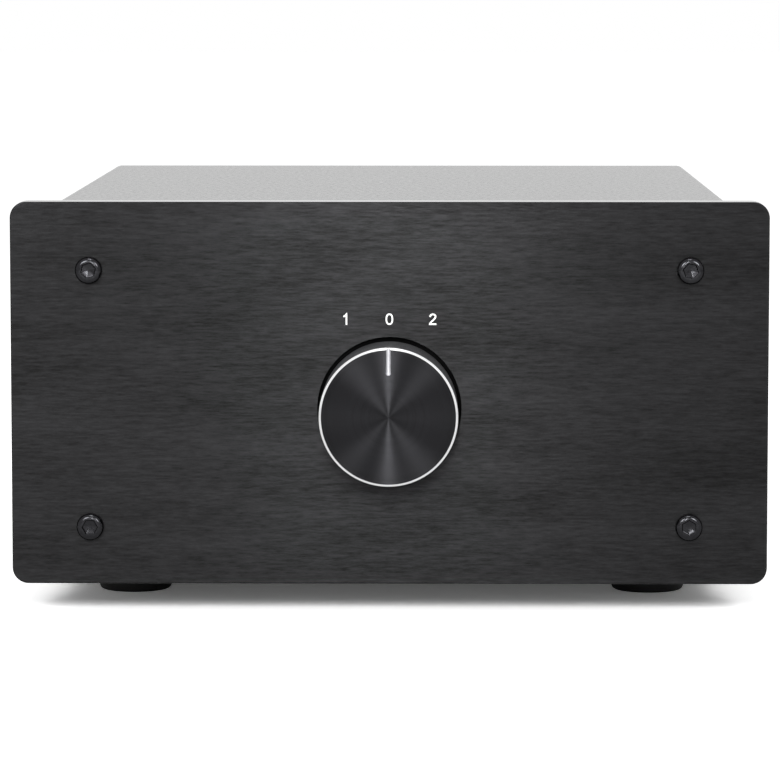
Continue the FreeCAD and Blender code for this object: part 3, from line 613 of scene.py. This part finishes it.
# Middle lines of the printed digits: (x, z) in heights, closed where the ends meet.
DIGITS: dict[int, tuple[tuple[float, float], ...]] = {
    0: tuple((0.265 * math.copysign(abs(math.cos(t)) ** 0.8, math.cos(t)),
              0.434 * math.copysign(abs(math.sin(t)) ** 0.9, math.sin(t)))
             for t in (2 * math.pi * k / 32 for k in range(33))),
    1: ((-0.2, 0.22), (-0.08, 0.3), (0.05, 0.45), (0.05, 0.32), (0.05, -0.5)),
    2: ((-0.25, 0.2), (-0.21, 0.33), (-0.11, 0.415), (0.02, 0.434), (0.14, 0.4), (0.225, 0.31),
        (0.23, 0.19), (0.17, 0.07), (0.02, -0.09), (-0.17, -0.26), (-0.25, -0.38),
        (-0.265, -0.434), (0.3, -0.434)),
}


def stroke_mesh(line: Profile, width: float, height: float, thickness: float,
                place: Point) -> Mesh:
    """Makes a printed character from its middle line, standing up in the XZ plane.

    Args:
        line: The middle line, in heights, about the character's middle.
        width: Width of the stroke, in metres.
        height: Height of the character, in metres.
        thickness: Thickness of the ink, in metres.
        place: Middle of the character.

    Returns:
        The mesh, in place.
    """
    mitre = 0.5  # least cosine, so that a corner's point stays short
    spots = [Vector((x * height, z * height)) for x, z in line]
    closed = (spots[0] - spots[-1]).length < width / 10
    if closed:
        spots.pop()
    count = len(spots)
    shape = bmesh.new()
    rows = []
    for k, spot in enumerate(spots):
        before = spots[k - 1] if k or closed else spot
        after = spots[(k + 1) % count] if k < count - 1 or closed else spot
        into, out = spot - before, after - spot
        into = into.normalized() if into.length else out.normalized()
        out = out.normalized() if out.length else into
        side = Vector((-(into.y + out.y), into.x + out.x)).normalized()
        reach = width / 2 / max(mitre, side.dot(Vector((-out.y, out.x))))
        rows.append([shape.verts.new((place[0] + spot.x + s * side.x * reach,
                                      place[1] + depth * thickness / 2,
                                      place[2] + spot.y + s * side.y * reach))
                     for s, depth in ((-1, -1), (1, -1), (1, 1), (-1, 1))])
    bridge(shape, rows, closed)
    if not closed:
        shape.faces.new(rows[0])
        shape.faces.new(rows[-1])
    return kept_mesh("number", shape)


# ---- studio
@dataclass
class Lamp:
    """One soft rectangular lamp."""

    name: str
    place: Point
    size: tuple[float, float]
    watts: float


@dataclass
class Studio:
    """White sweep, soft light and the camera."""

    lens: float = 196.86
    sensor: float = 36.0
    far: float = 60.0
    pitch_down: float = 5.570
    yaw_left: float = 0.646
    distance: float = 0.8404  # from the panel's face
    aside: float = 0.0096
    height: float = 0.1207  # above the cabinet's underside
    floor_size: float = 12.0
    floor_gain: float = 1.69  # its colour to the camera, which shows white outside the shadow
    floor_glow: float = 0.07
    floor_bounce: float = 0.8  # its colour to all else
    sky: float = 0.56
    aim: Point = (0.0, -0.10, 0.04)
    lamps: tuple[Lamp, ...] = (
        Lamp("middle_strip", (-0.01, -1.05, 0.28), (0.04, 0.36), 1.8),
        Lamp("left_panel", (-0.22, -1.05, 0.34), (0.24, 0.36), 0.6),
        Lamp("upper_left", (-0.38, -1.01, 0.45), (0.3, 0.3), 5.4),
        Lamp("upper_right", (0.42, -1.01, 0.45), (0.3, 0.3), 5.4),
        Lamp("overhead", (0.0, -0.50, 0.95), (0.3, 0.15), 2.6),
    )

    def add_camera(self) -> None:
        """Puts the camera in front of the panel."""
        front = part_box("front_panel")[0]
        data = bpy.data.cameras.new("camera")
        data.lens = self.lens
        data.sensor_width = self.sensor
        data.clip_end = self.far
        camera = new_object("camera", data)
        camera.location = (self.aside, front.y - self.distance, front.z + self.height)
        camera.rotation_euler = (math.radians(90 - self.pitch_down), 0,
                                 math.radians(self.yaw_left))
        bpy.context.scene.camera = camera

    def add_world(self) -> None:
        """Sets an even sky that is white where it is seen or mirrored."""
        world = bpy.data.worlds.new("studio")
        bpy.context.scene.world = world
        tree = empty_tree(world)
        path = add_node(tree, "ShaderNodeLightPath")
        seen = path.outputs["Is Camera Ray"]
        for ray in ("Is Glossy Ray", "Is Transmission Ray"):
            seen = add_node(tree, "ShaderNodeMath", {0: seen, 1: path.outputs[ray]},
                            operation="MAXIMUM")
        lit = add_node(tree, "ShaderNodeBackground", {"Color": WHITE, "Strength": self.sky})
        white = add_node(tree, "ShaderNodeBackground", {"Color": WHITE, "Strength": 1.0})
        both = add_node(tree, "ShaderNodeMixShader", {0: seen, 1: lit, 2: white})
        add_node(tree, "ShaderNodeOutputWorld", {"Surface": both})

    def add_floor(self) -> None:
        """Lays the white floor; it shows white wherever no shadow falls."""
        half = self.floor_size / 2
        mesh = bpy.data.meshes.new("floor")
        mesh.from_pydata([(-half, -half, 0), (half, -half, 0), (half, half, 0), (-half, half, 0)],
                         [], [(0, 1, 2, 3)])
        floor = new_object("floor", mesh)
        material = bpy.data.materials.new("white_sweep")
        tree = empty_tree(material)
        path = add_node(tree, "ShaderNodeLightPath")
        white, plain = (add_node(tree, "ShaderNodeBsdfDiffuse", {"Color": (tone, tone, tone, 1)})
                        for tone in (self.floor_gain, self.floor_bounce))
        glow = add_node(tree, "ShaderNodeEmission", {"Strength": self.floor_glow})
        bright = add_node(tree, "ShaderNodeAddShader", {0: white, 1: glow})
        both = add_node(tree, "ShaderNodeMixShader", {
            0: path.outputs["Is Camera Ray"], 1: plain, 2: bright})
        add_node(tree, "ShaderNodeOutputMaterial", {"Surface": both})
        mesh.materials.append(material)

    def add_lamps(self) -> None:
        """Hangs the soft lamps, flagged off the cover, whose glossy top would mirror them."""
        flagged = bpy.data.collections.new("flagged_off")
        flagged.objects.link(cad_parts["top_cover"])
        flagged.collection_objects[0].light_linking.link_state = "EXCLUDE"
        for lamp in self.lamps:
            data = bpy.data.lights.new(lamp.name, "AREA")
            data.shape = "RECTANGLE"
            data.size, data.size_y = lamp.size
            data.energy = lamp.watts
            holder = new_object(lamp.name, data)
            holder.location = lamp.place
            towards = Vector(self.aim) - Vector(lamp.place)
            holder.rotation_euler = towards.to_track_quat("-Z", "Y").to_euler()
            holder.light_linking.receiver_collection = flagged

    def build(self) -> None:
        """Sets up the studio, camera first."""
        self.add_camera()
        self.add_world()
        self.add_floor()
        self.add_lamps()
        bpy.context.scene.view_settings.view_transform = "Standard"


# ---- front panel
@dataclass
class FrontPanel:
    """Brushed plate with the knob's three numbers printed over it."""

    number_height: float = 2.25 * MM
    number_spread: float = 8.6 * MM
    number_rise: float = 17.8 * MM  # over the knob's axis
    stroke: float = 0.3 * MM
    ink_thickness: float = 0.03 * MM
    edge_reach: float = 4.0 * MM  # the plate's outer walls and corners lie within it
    skin: float = 0.1 * MM  # whatever lies deeper, away from the edges, is a recess or a hole
    facing: float = 0.5  # least part of a normal along Y on the face
    # Belt-brushed and dyed: short lines along the plate, a little lighter than the ground.
    finish: Finish = MachinedMetal("brushed_black_anodised_aluminium", ("181818", "2c2c2d"))
    # Milled before the dye: smoother than the face, so it mirrors the white room as a thin rim.
    edges: Finish = MachinedMetal("milled_black_anodised_aluminium", ("181818", "2c2c2d"),
                                  roughness=0.1, roughness_spread=0.02, stretch=0.2)
    # Painted shade: the recess round the knob is coloured near black and has no gloss. It is
    # darker than the same anodised metal of the face, so it reads as a black line.
    recess: Finish = PebbledCoat("blasted_black_anodised_recess", ("040404", "070708"), ior=1.15,
                                 roughness=0.6, depth_mm=0.001, pebble_mm=0.2, cloud_mm=4.0)

    def build(self) -> None:
        """Dresses the plate and prints the numbers."""
        dress(self.finish, "front_panel")
        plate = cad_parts["front_panel"].data
        plate.materials.append(self.edges.build())
        plate.materials.append(self.recess.build())
        low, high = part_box("front_panel")
        reach = self.edge_reach
        for polygon in plate.polygons:
            spot = polygon.center
            inside = (low.x + reach < spot.x < high.x - reach and
                      low.z + reach < spot.z < high.z - reach)
            sunk = inside and low.y + self.skin < spot.y < high.y - self.skin
            on_face = abs(polygon.normal.y) > self.facing
            # painted shade: the sunk faces (index 2) take the near-black recess colour
            polygon.material_index = 2 if sunk else 0 if on_face else 1
        axis = centre_of("selector_knob")
        numbers = [
            stroke_mesh(DIGITS[digit], self.stroke, self.number_height, self.ink_thickness,
                        (axis.x + k * self.number_spread, low.y - self.ink_thickness / 2,
                         axis.z + self.number_rise))
            for k, digit in ((-1, 1), (0, 0), (1, 2))
        ]
        piece = new_object("position_numbers", joined("position_numbers", numbers))
        piece.data.materials.append(PRINT.build())
        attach(piece, "chassis")
        LOG.info("front panel: %d printed numbers", len(numbers))


# ---- knob
@dataclass
class SelectorKnob:
    """Turned knob: ring-cut face, diamond-cut rim, ball-milled pointer, smooth wall."""

    rim_bevel: float = 0.42 * MM
    edge_round: float = 0.08 * MM
    ring_pitch: float = 0.2 * MM
    ring_depth: float = 0.0035 * MM
    ring_steps: int = 4
    pointer_length: float = 5.0 * MM
    pointer_width: float = 1.0 * MM
    pointer_depth: float = 0.32 * MM
    hollow_radius: float = 9.0 * MM
    hollow_depth: float = 3.0 * MM
    bore_radius: float = 3.05 * MM
    bore_depth: float = 12.0 * MM
    segments: int = 180
    cutter_sides: int = 32
    cutter_steps: int = 8
    margin: float = 0.02 * MM  # allowed round a surface when its faces are told apart
    around: Vector = field(default_factory=lambda: centre_of("selector_knob"))

    def section(self) -> Profile:
        """Draws the knob's half section.

        Returns:
            (radius, y) pairs from the middle of its face round to the bore's end.
        """
        low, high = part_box("selector_knob")
        radius = (high.x - low.x) / 2
        length = high.y - low.y
        face_radius = radius - self.rim_bevel
        rings = int(face_radius / self.ring_pitch)
        points = [(0.0, 0.0)]
        for k in range(1, rings * self.ring_steps + 1):
            reach = k * self.ring_pitch / self.ring_steps
            dip = self.ring_depth * (1 - math.cos(2 * math.pi * k / self.ring_steps)) / 2
            points.append((reach, dip))
        soft = self.edge_round
        return points + [
            (face_radius, 0.0), (radius, self.rim_bevel), (radius, self.rim_bevel + soft),
            (radius, length - 2 * soft), (radius - soft / 2, length - soft / 2),
            (radius - 2 * soft, length), (self.hollow_radius, length),
            (self.hollow_radius, length - self.hollow_depth),
            (self.bore_radius, length - self.hollow_depth),
            (self.bore_radius, length - self.bore_depth), (0.0, length - self.bore_depth),
        ]

    def pointer_cutter(self) -> Object:
        """Makes the round-ended tool that mills the pointer's round-bottomed groove.

        Returns:
            The tool, where it ends its cut.
        """
        low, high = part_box("selector_knob")
        half = self.pointer_width / 2
        ball = (half ** 2 + self.pointer_depth ** 2) / (2 * self.pointer_depth)
        centre_y = low.y + self.pointer_depth - ball
        inner = high.z - self.rim_bevel - self.pointer_length + half
        shape = bmesh.new()
        rows = []
        for reach, rise in (arc((0.0, 0.0), ball, -90, 0, self.cutter_steps) +
                            [(ball, high.z + ball - inner)]):
            angles = (2 * math.pi * k / self.cutter_sides for k in range(self.cutter_sides))
            rows.append([shape.verts.new((self.around.x + reach * math.cos(a),
                                          centre_y + reach * math.sin(a), inner + rise))
                         for a in angles])
        bridge(shape, rows)
        shape.faces.new(rows[-1])
        return new_object("pointer_cutter", kept_mesh("pointer_cutter", shape, weld=True))

    def finishes(self) -> tuple[Finish, ...]:
        """Lists the knob's finishes.

        Returns:
            Those of the face, the rim, the wall and the pointer.
        """
        centre = tuple(self.around)
        # Ring-cut and dyed: bright sectors turn with the light over a dark, clean metal.
        skin = MachinedMetal(
            "turned_black_anodised_aluminium", ("1f1f20", "28282a"), lay=Lay.TURNED,
            roughness=0.25, roughness_spread=0.02, stretch=1.0, line_mm=0.4, band_mm=3.0,
            depth_mm=0.0004, centre=centre)
        # Cut after the dye: bare metal, nearly white, with a soft sheen round the ring.
        bare = MachinedMetal(
            "diamond_cut_aluminium", ("ececed", "f8f8f8"), lay=Lay.TURNED, roughness=0.28,
            roughness_spread=0.04, stretch=0.3, line_mm=0.1, band_mm=1.0, depth_mm=0.0004,
            centre=centre)
        # Painted reflection: the wall is coloured a lighter grey than its black anodised metal, so
        # it lights up as a pale crescent on top.
        wall = PebbledCoat("satin_black_anodised_wall", ("454547", "4f4f51"), roughness=0.3,
                           depth_mm=0.001, pebble_mm=0.25, cloud_mm=6.0)
        # Left by the ball mill: the same metal, rougher than the rim. It is also coloured darker
        # as painted shade in the groove, so it shows pale grey.
        milled = PlatedMetal("ball_milled_aluminium", ("b4b4b7", "9c9c9f"), roughness=0.42,
                             roughness_spread=0.05, cloud_mm=0.5)
        return skin, bare, wall, milled

    def build(self) -> None:
        """Turns the knob, mills the pointer and dresses each surface."""
        low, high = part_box("selector_knob")
        piece = new_object("turned_knob", turned_mesh(
            "turned_knob", self.section(), self.segments, (self.around.x, low.y, self.around.z)))
        cutter = self.pointer_cutter()
        cut = piece.modifiers.new("pointer", "BOOLEAN")
        cut.object = cutter
        cut.solver = "EXACT"
        baked(piece)
        bpy.data.objects.remove(cutter)
        mesh = piece.data
        mesh.materials.clear()
        for finish in self.finishes():
            mesh.materials.append(finish.build())
        radius = (high.x - low.x) / 2
        groove_end = high.z - self.rim_bevel - self.pointer_length
        for polygon in mesh.polygons:
            spot = polygon.center
            reach = math.hypot(spot.x - self.around.x, spot.z - self.around.z)
            deep = spot.y - low.y
            on_rim = reach > radius - self.rim_bevel and deep < self.rim_bevel
            in_groove = (abs(spot.x - self.around.x) < self.pointer_width / 2 and
                         spot.z > groove_end and self.ring_depth + self.margin / 8 < deep
                         < self.pointer_depth + self.margin)
            on_wall = reach > radius - self.margin and deep >= self.rim_bevel
            # the groove's faces (index 3) take the darker colour, which is painted shade
            # the wall's faces (index 2) take the painted reflection grey
            polygon.material_index = 1 if on_rim else 3 if in_groove else 2 if on_wall else 0
        smooth(mesh, 25)
        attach(piece, "selector")
        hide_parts("selector_knob")
        LOG.info("knob: %d faces", len(mesh.polygons))


# ---- fasteners
@dataclass
class PanelScrews:
    """Socket-head screws of the front panel, each stopped at its own turn."""

    head_radius: float = 2.7 * MM
    edge_round: float = 1.0 * MM
    socket_flats: float = 2.5 * MM
    socket_depth: float = 1.4 * MM
    socket_lead: float = 0.16 * MM
    cone_depth: float = 0.15 * MM
    cone_end: float = 0.2  # of the socket's flats
    shank_radius: float = 1.5 * MM
    turns: tuple[float, ...] = (0.0, 16.0, 30.0, 50.0)  # degrees, in the order of the corners
    corner_steps: int = 8
    edge_steps: int = 6

    def hexagon(self, flats: float, depth: float) -> list[Vector]:
        """Spreads points evenly on a hexagon, corner_steps to a side.

        Args:
            flats: Distance between opposite sides.
            depth: How far behind the head's front it lies.

        Returns:
            The points.
        """
        reach = flats / math.sqrt(3)
        corners = [Vector((reach * math.cos(math.radians(60 * k)), depth,
                           reach * math.sin(math.radians(60 * k)))) for k in range(7)]
        return [first.lerp(second, k / self.corner_steps)
                for first, second in zip(corners, corners[1:]) for k in range(self.corner_steps)]

    def ring(self, radius: float, depth: float) -> list[Vector]:
        """Points on a circle at a depth, at the hexagon points' angles."""
        angles = (math.atan2(spot.z, spot.x) for spot in self.hexagon(self.socket_flats, 0.0))
        return [Vector((radius * math.cos(a), depth, radius * math.sin(a))) for a in angles]

    def model(self, head_height: float, length: float) -> Mesh:
        """Makes one screw: y = 0 is the front of its head, and its axis is along Y.

        Args:
            head_height: Height of the head.
            length: Length of the whole screw.

        Returns:
            The mesh.
        """
        outer, soft, inside = self.head_radius, self.edge_round, self.socket_flats
        rows = [self.hexagon(inside * self.cone_end, self.socket_depth + self.cone_depth),
                self.hexagon(inside, self.socket_depth),
                self.hexagon(inside, self.socket_lead),
                self.hexagon(inside + 2 * self.socket_lead, 0.0)]
        rows += [self.ring(*spot) for spot in (
            *arc((outer - soft, soft), soft, -90, 0, self.edge_steps),
            (outer, head_height - soft / 4), (outer - soft / 4, head_height),
            (self.shank_radius, head_height), (self.shank_radius, length - soft),
            (self.shank_radius - soft / 2, length))]
        shape = bmesh.new()
        made = [[shape.verts.new(spot) for spot in row] for row in rows]
        bridge(shape, made)
        shape.faces.new(made[0])
        shape.faces.new(made[-1])
        mesh = kept_mesh("panel_screw", shape)
        smooth(mesh, 28)
        return mesh

    def build(self) -> None:
        """Puts the four screws in their holes."""
        low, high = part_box("panel_screws")
        panel_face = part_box("front_panel")[0].y
        model = new_object("panel_screw", self.model(panel_face - low.y, high.y - low.y))
        edge = (high.x - low.x) / 2
        head = self.head_radius
        spots = [(sx * (edge - head), low.y, z) for sx in (-1, 1)
                 for z in (low.z + head, high.z - head)]
        points = bpy.data.meshes.new("screw_points")
        points.from_pydata(spots, [], [])
        turn = points.attributes.new("turn", "FLOAT", "POINT")
        turn.data.foreach_set("value", [-math.radians(a) for a in self.turns])
        # Oiled black oxide: a dark steel whose rounded rim and hexagon catch sharp glints.
        finish = MachinedMetal(
            "black_oxide_steel", ("262628", "343436"), roughness=0.16, roughness_spread=0.03,
            stretch=0.1, line_mm=0.3, line_length_mm=0.6, band_mm=1.5, depth_mm=0.0004)
        piece = run_tree(new_object("panel_socket_screws", points), fastener_tree(),
                         {"Fastener": model, "Finish": finish.build()})
        bpy.data.objects.remove(model)
        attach(piece, "chassis")
        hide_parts("panel_screws")
        LOG.info("panel screws: %d", len(spots))


# ---- binding posts
class Polarity(Enum):
    """The two kinds of post, by the row that they stand in."""

    PLUS = "plus"
    MINUS = "minus"


PostKey = tuple[str, str, Polarity]


@dataclass
class BindingPosts:
    """Twelve screw binding posts in three groups of four."""

    groups: tuple[str, ...] = ("source1", "speaker", "source2")
    channels: tuple[str, ...] = ("left", "right")
    flute_count: float = 18.0
    flute_depth: float = 0.45 * MM
    flute_margin: float = 2.6 * MM
    flute_fade: float = 1.2 * MM
    flute_rim: float = 0.995  # of the radius: what lies farther out is fluted
    mouth_radius: float = 2.6 * MM
    end_wall: float = 1.4 * MM
    bore_radius: float = 4.08 * MM
    relief_radius: float = 5.0 * MM
    relief_depth: float = 9.0 * MM
    lip_round: float = 0.7 * MM
    lip_steps: int = 5
    crown_inset: float = 1.5 * MM
    crown_step: float = 0.5 * MM
    wall_rows: int = 40
    segments: int = 192

    def names(self) -> list[PostKey]:
        """Every post's group, channel and polarity."""
        return [(g, c, p) for g in self.groups for c in self.channels for p in Polarity]

    def cap_name(self, key: PostKey) -> str:
        """Name of a cap's node and body."""
        return f"{key[0]}_{key[1]}_{key[2].value}_cap"

    def centres(self) -> dict[PostKey, Vector]:
        """Middle of each cap."""
        return {key: centre_of(self.cap_name(key)) for key in self.names()}

    def collar_radius(self) -> float:
        """Radius of a collar, from one row of them."""
        low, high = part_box("post_collars_red")
        return (high.z - low.z) / 2

    def section(self, radius: float, length: float) -> Profile:
        """Draws a cap's half section: fluted wall, rounded lips, stepped end, open mouth.

        Args:
            radius: The cap's radius.
            length: The cap's length.

        Returns:
            (radius, y) pairs all round the section.
        """
        soft, step = self.lip_round, self.crown_step
        start, end = soft, length - 2 * soft
        crown = radius - soft - self.crown_inset
        return [
            (self.bore_radius, self.relief_depth), (self.relief_radius, self.relief_depth),
            (self.relief_radius, 0.0),
            *arc((radius - soft / 2, soft / 2), soft / 2, -90, 0, self.lip_steps),
            *((radius, start + (end - start) * k / self.wall_rows)
              for k in range(self.wall_rows + 1)),
            *arc((radius - soft, length - soft), soft, 0, 90, self.lip_steps),
            (crown, length), (crown - step / 2, length - step),
            (self.mouth_radius + step / 3, length - step),
            (self.mouth_radius, length - step * 4 / 3),
            (self.mouth_radius, length - self.end_wall),
            (self.bore_radius, length - self.end_wall)]

    def build_cap(self, key: PostKey, finish: Material, flutes: GeometryNodeTree) -> None:
        """Turns one cap, presses its flutes and sets it on its own body.

        Args:
            key: The post.
            finish: The cap's material.
            flutes: The tree that presses flutes.
        """
        name = self.cap_name(key)
        low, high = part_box(name)
        centre = (low + high) / 2
        foot = (centre.x, low.y, centre.z)
        radius = (high.x - low.x) / 2
        length = high.y - low.y
        mesh = turned_mesh("fluted_" + name, self.section(radius, length), self.segments, foot)
        piece = run_tree(new_object("fluted_" + name, mesh), flutes, {
            "Axis": foot, "Count": self.flute_count, "Depth": self.flute_depth,
            "Rim": radius * self.flute_rim, "From": self.flute_margin,
            "To": length - self.flute_margin, "Fade": self.flute_fade, "Finish": finish})
        smooth(piece.data, 40)
        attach(piece, name)
        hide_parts(name)

    def build(self) -> None:
        """Makes the caps and dresses the metal and the collars."""
        # Gloss-moulded plastic: a deep, even colour whose flutes carry clean highlights.
        red, black = (
            dress(PebbledCoat(name, colours, ior=1.49, roughness=gloss, pebble_mm=0.6,
                              cloud_mm=5.0), *nodes)
            for name, colours, gloss, nodes in (
                ("moulded_red_plastic", ("a20b10", "ad1015"), 0.17, ("post_collars_red",)),
                ("moulded_black_plastic", ("0d0d0e", "131314"), 0.18,
                 ("post_collars_black", "post_insulators"))))
        flutes = flute_tree()
        for key in self.names():
            self.build_cap(key, red if key[2] is Polarity.PLUS else black, flutes)
        # Flash gold over polished brass: a warm mirror between the cap and the collar.
        washers = (self.cap_name(key).replace("_cap", "_washer") for key in self.names())
        dress(PlatedMetal("gold_plated_brass", ("e8bf6a", "d9ab52"), roughness=0.17,
                          roughness_spread=0.05), "post_studs", *washers)
        # Nickel and hot tin over brass: a warm grey, bright on the nuts, duller on the tags.
        dress(PlatedMetal("nickel_plated_brass", ("cdc8bb", "b9b3a4")), "post_nuts")
        dress(PlatedMetal("tinned_brass", ("cfcfc9", "b8b8b0"), roughness=0.35), "solder_tags")
        LOG.info("binding posts: %d caps", len(self.names()))


# ---- cabinet
@dataclass
class Cabinet:
    """Powder-coated cover and tray, their screws and feet, and the marks on the back."""

    posts: BindingPosts
    letter_height: float = 3.2 * MM
    sign_height: float = 2.8 * MM
    line_width: float = 0.35 * MM
    ink_thickness: float = 0.03 * MM
    frame_margin: float = 4.0 * MM
    letter_gap: float = 3.4 * MM

    def outline(self, left: float, right: float, low: float, high: float,
                face: float) -> list[Mesh]:
        """Prints four thin lines around a group.

        Args:
            left, right: Middle of each upright line.
            low, high: Middle of each level line.
            face: Middle of the ink, along Y.

        Returns:
            A mesh for each line.
        """
        half = self.line_width / 2
        made = []
        for x0, x1, z0, z1 in ((left - half, right + half, high - half, high + half),
                               (left - half, right + half, low - half, low + half),
                               (left - half, left + half, low + half, high - half),
                               (right - half, right + half, low + half, high - half)):
            shape = bmesh.new()
            bmesh.ops.create_cube(shape, size=1.0)
            scale = Matrix.Diagonal((x1 - x0, self.ink_thickness, z1 - z0, 1))
            shift = Matrix.Translation(((x0 + x1) / 2, face, (z0 + z1) / 2))
            bmesh.ops.transform(shape, matrix=shift @ scale, verts=shape.verts)
            made.append(kept_mesh("line", shape))
        return made

    def print_back(self) -> None:
        """Prints plain marks on the back: a line round each group, numbers, signs, channels."""
        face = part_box("base_tray")[1].y + self.ink_thickness / 2
        centres = self.posts.centres()
        reach = self.posts.collar_radius() + self.frame_margin
        marks = []
        for label, group in (("1", "source1"), ("", "speaker"), ("2", "source2")):
            xs, zs = zip(*((s.x, s.z) for key, s in centres.items() if key[0] == group))
            x0, x1, z0, z1 = min(xs), max(xs), min(zs), max(zs)
            marks += self.outline(x0 - reach, x1 + reach, z0 - reach, z1 + reach, face)
            x, z, above = (x0 + x1) / 2, (z0 + z1) / 2, z1 + reach + self.letter_gap
            spots = (label, x, above), ("+", x, z1), ("-", x, z0), ("L", x0, z), ("R", x1, z)
            for words, across, up in spots if label else spots[1:]:
                height = self.letter_height if words == label else self.sign_height
                marks.append(text_mesh(words, height, self.ink_thickness, (across, face, up)))
        piece = new_object("back_marks", joined("back_marks", marks))
        piece.data.materials.append(PRINT.build())
        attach(piece, "chassis")

    def build(self) -> None:
        """Dresses the sheet metal and what is screwed to it."""
        # Baked powder: a satin black with a faint orange peel, here coarse enough to show.
        dress(PebbledCoat("satin_black_powder_coat", ("0c0c0d", "101011"), pebble_mm=0.9,
                          depth_mm=0.006), "top_cover", "base_tray")
        # Dry black oxide: duller than the coat, so the heads stand out softly.
        dress(PebbledCoat("black_oxide_screw", ("121213", "1a1a1b"), ior=1.6, roughness=0.3,
                          pebble_mm=0.3, cloud_mm=3.0), "cover_screws")
        # Moulded rubber: a deep black that hardly shines.
        dress(PebbledCoat("moulded_black_rubber", ("0b0b0b", "111111"), roughness=0.6,
                          pebble_mm=0.35, depth_mm=0.01, cloud_mm=6.0), "rubber_feet")
        # Bright zinc: a cold, slightly blue metal.
        dress(PlatedMetal("bright_zinc_plate", ("c9ccd2", "b3b6bd")), "foot_screws", "m3_nuts")
        self.print_back()
        LOG.info("cabinet: cover, tray, screws, feet and marks")


# ---- rotary switch
@dataclass
class RotarySwitch:
    """The switch behind the knob, with its wiring."""

    def build(self) -> None:
        """Dresses every piece of the switch."""
        # Passivated zinc: plain pale grey hardware.
        dress(PlatedMetal("passivated_zinc_plate", ("c4c6c4", "aeb0ad")), "switch_shaft",
              "detent_wheel", "tie_rods", "tie_rod_nuts")
        # Die-cast zinc: a darker, mottled grey with a cast skin.
        dress(PlatedMetal("die_cast_zinc_alloy", ("a9a9ac", "8f8f93"), roughness=0.45,
                          cloud_mm=1.2, depth_mm=0.01), "switch_plate")
        # Painted shade: the nut and washer behind the knob are coloured near black, so the slit
        # behind the knob shows dark, not a pale gleam.
        dress(PlatedMetal("black_nickel_plate", ("232324", "2e2e30"), roughness=0.4),
              "bushing_nut", "lock_washer")
        # Rolled steel: a cool grey with long, straight mill lines.
        dress(MachinedMetal("rolled_spring_steel", ("8f9298", "a0a3a8"), roughness=0.28,
                            line_mm=0.2, line_length_mm=6.0), "detent_spring", "shaft_clip")
        # Blackened steel, left dry: dark and dull in its hole.
        dress(PebbledCoat("blackened_set_screw", ("141415", "1c1c1d"), roughness=0.35,
                          pebble_mm=0.2), "knob_set_screw")
        # Pressed paper and resin: a warm brown board, cloudy along its fibres.
        dress(PebbledCoat("phenolic_paper_laminate", ("7c4a24", "8b5730"), roughness=0.45,
                          pebble_mm=0.3, cloud_mm=4.0), "front_wafer", "rear_wafer")
        # Glass-filled nylon: an off-white moulding with a dry surface.
        dress(PebbledCoat("glass_filled_nylon", ("d8d3c6", "e2ddd0"), roughness=0.5,
                          pebble_mm=0.25, cloud_mm=3.0), "front_rotor", "rear_rotor")
        # Silver over brass: pale and soft, a little yellow where it tarnishes.
        dress(PlatedMetal("silver_plated_brass", ("d9d7d0", "c2bfb6"), roughness=0.3),
              "front_blades", "rear_blades", "switch_contacts")
        # Drawn tube, parted on a lathe: fine rings round a light grey.
        dress(MachinedMetal(
            "drawn_aluminium_tube", ("b9bbbe", "c9cbce"), lay=Lay.TURNED, roughness=0.3,
            line_mm=0.2, centre=tuple(centre_of("switch_shaft"))), "wafer_spacers")
        # Extruded PVC: an even colour with the soft shine of flexible plastic.
        for colour, colours in (("red", ("8f1010", "a01414")), ("black", ("0f0f0f", "161616"))):
            dress(PebbledCoat(colour + "_wire_insulation", colours, roughness=0.4, pebble_mm=0.8,
                              cloud_mm=10.0), "wires_" + colour)
        LOG.info("rotary switch and wiring: dressed")


def write_sizes() -> None:
    """Defines a helper that gives a box as plain lists of numbers, and does nothing else."""
    def plain(box: Iterable[Iterable[float]]) -> list[list[float]]:
        """A box as plain lists of numbers."""
        return [[round(float(value), 6) for value in corner] for corner in box]


def main() -> None:
    """Builds the studio and every sub-assembly, in order."""
    logging.basicConfig(level=logging.INFO, format="%(name)s: %(message)s")
    Studio().build()
    FrontPanel().build()
    SelectorKnob().build()
    PanelScrews().build()
    posts = BindingPosts()
    posts.build()
    Cabinet(posts).build()
    RotarySwitch().build()
    write_sizes()


if __name__ == "__main__":
    main()
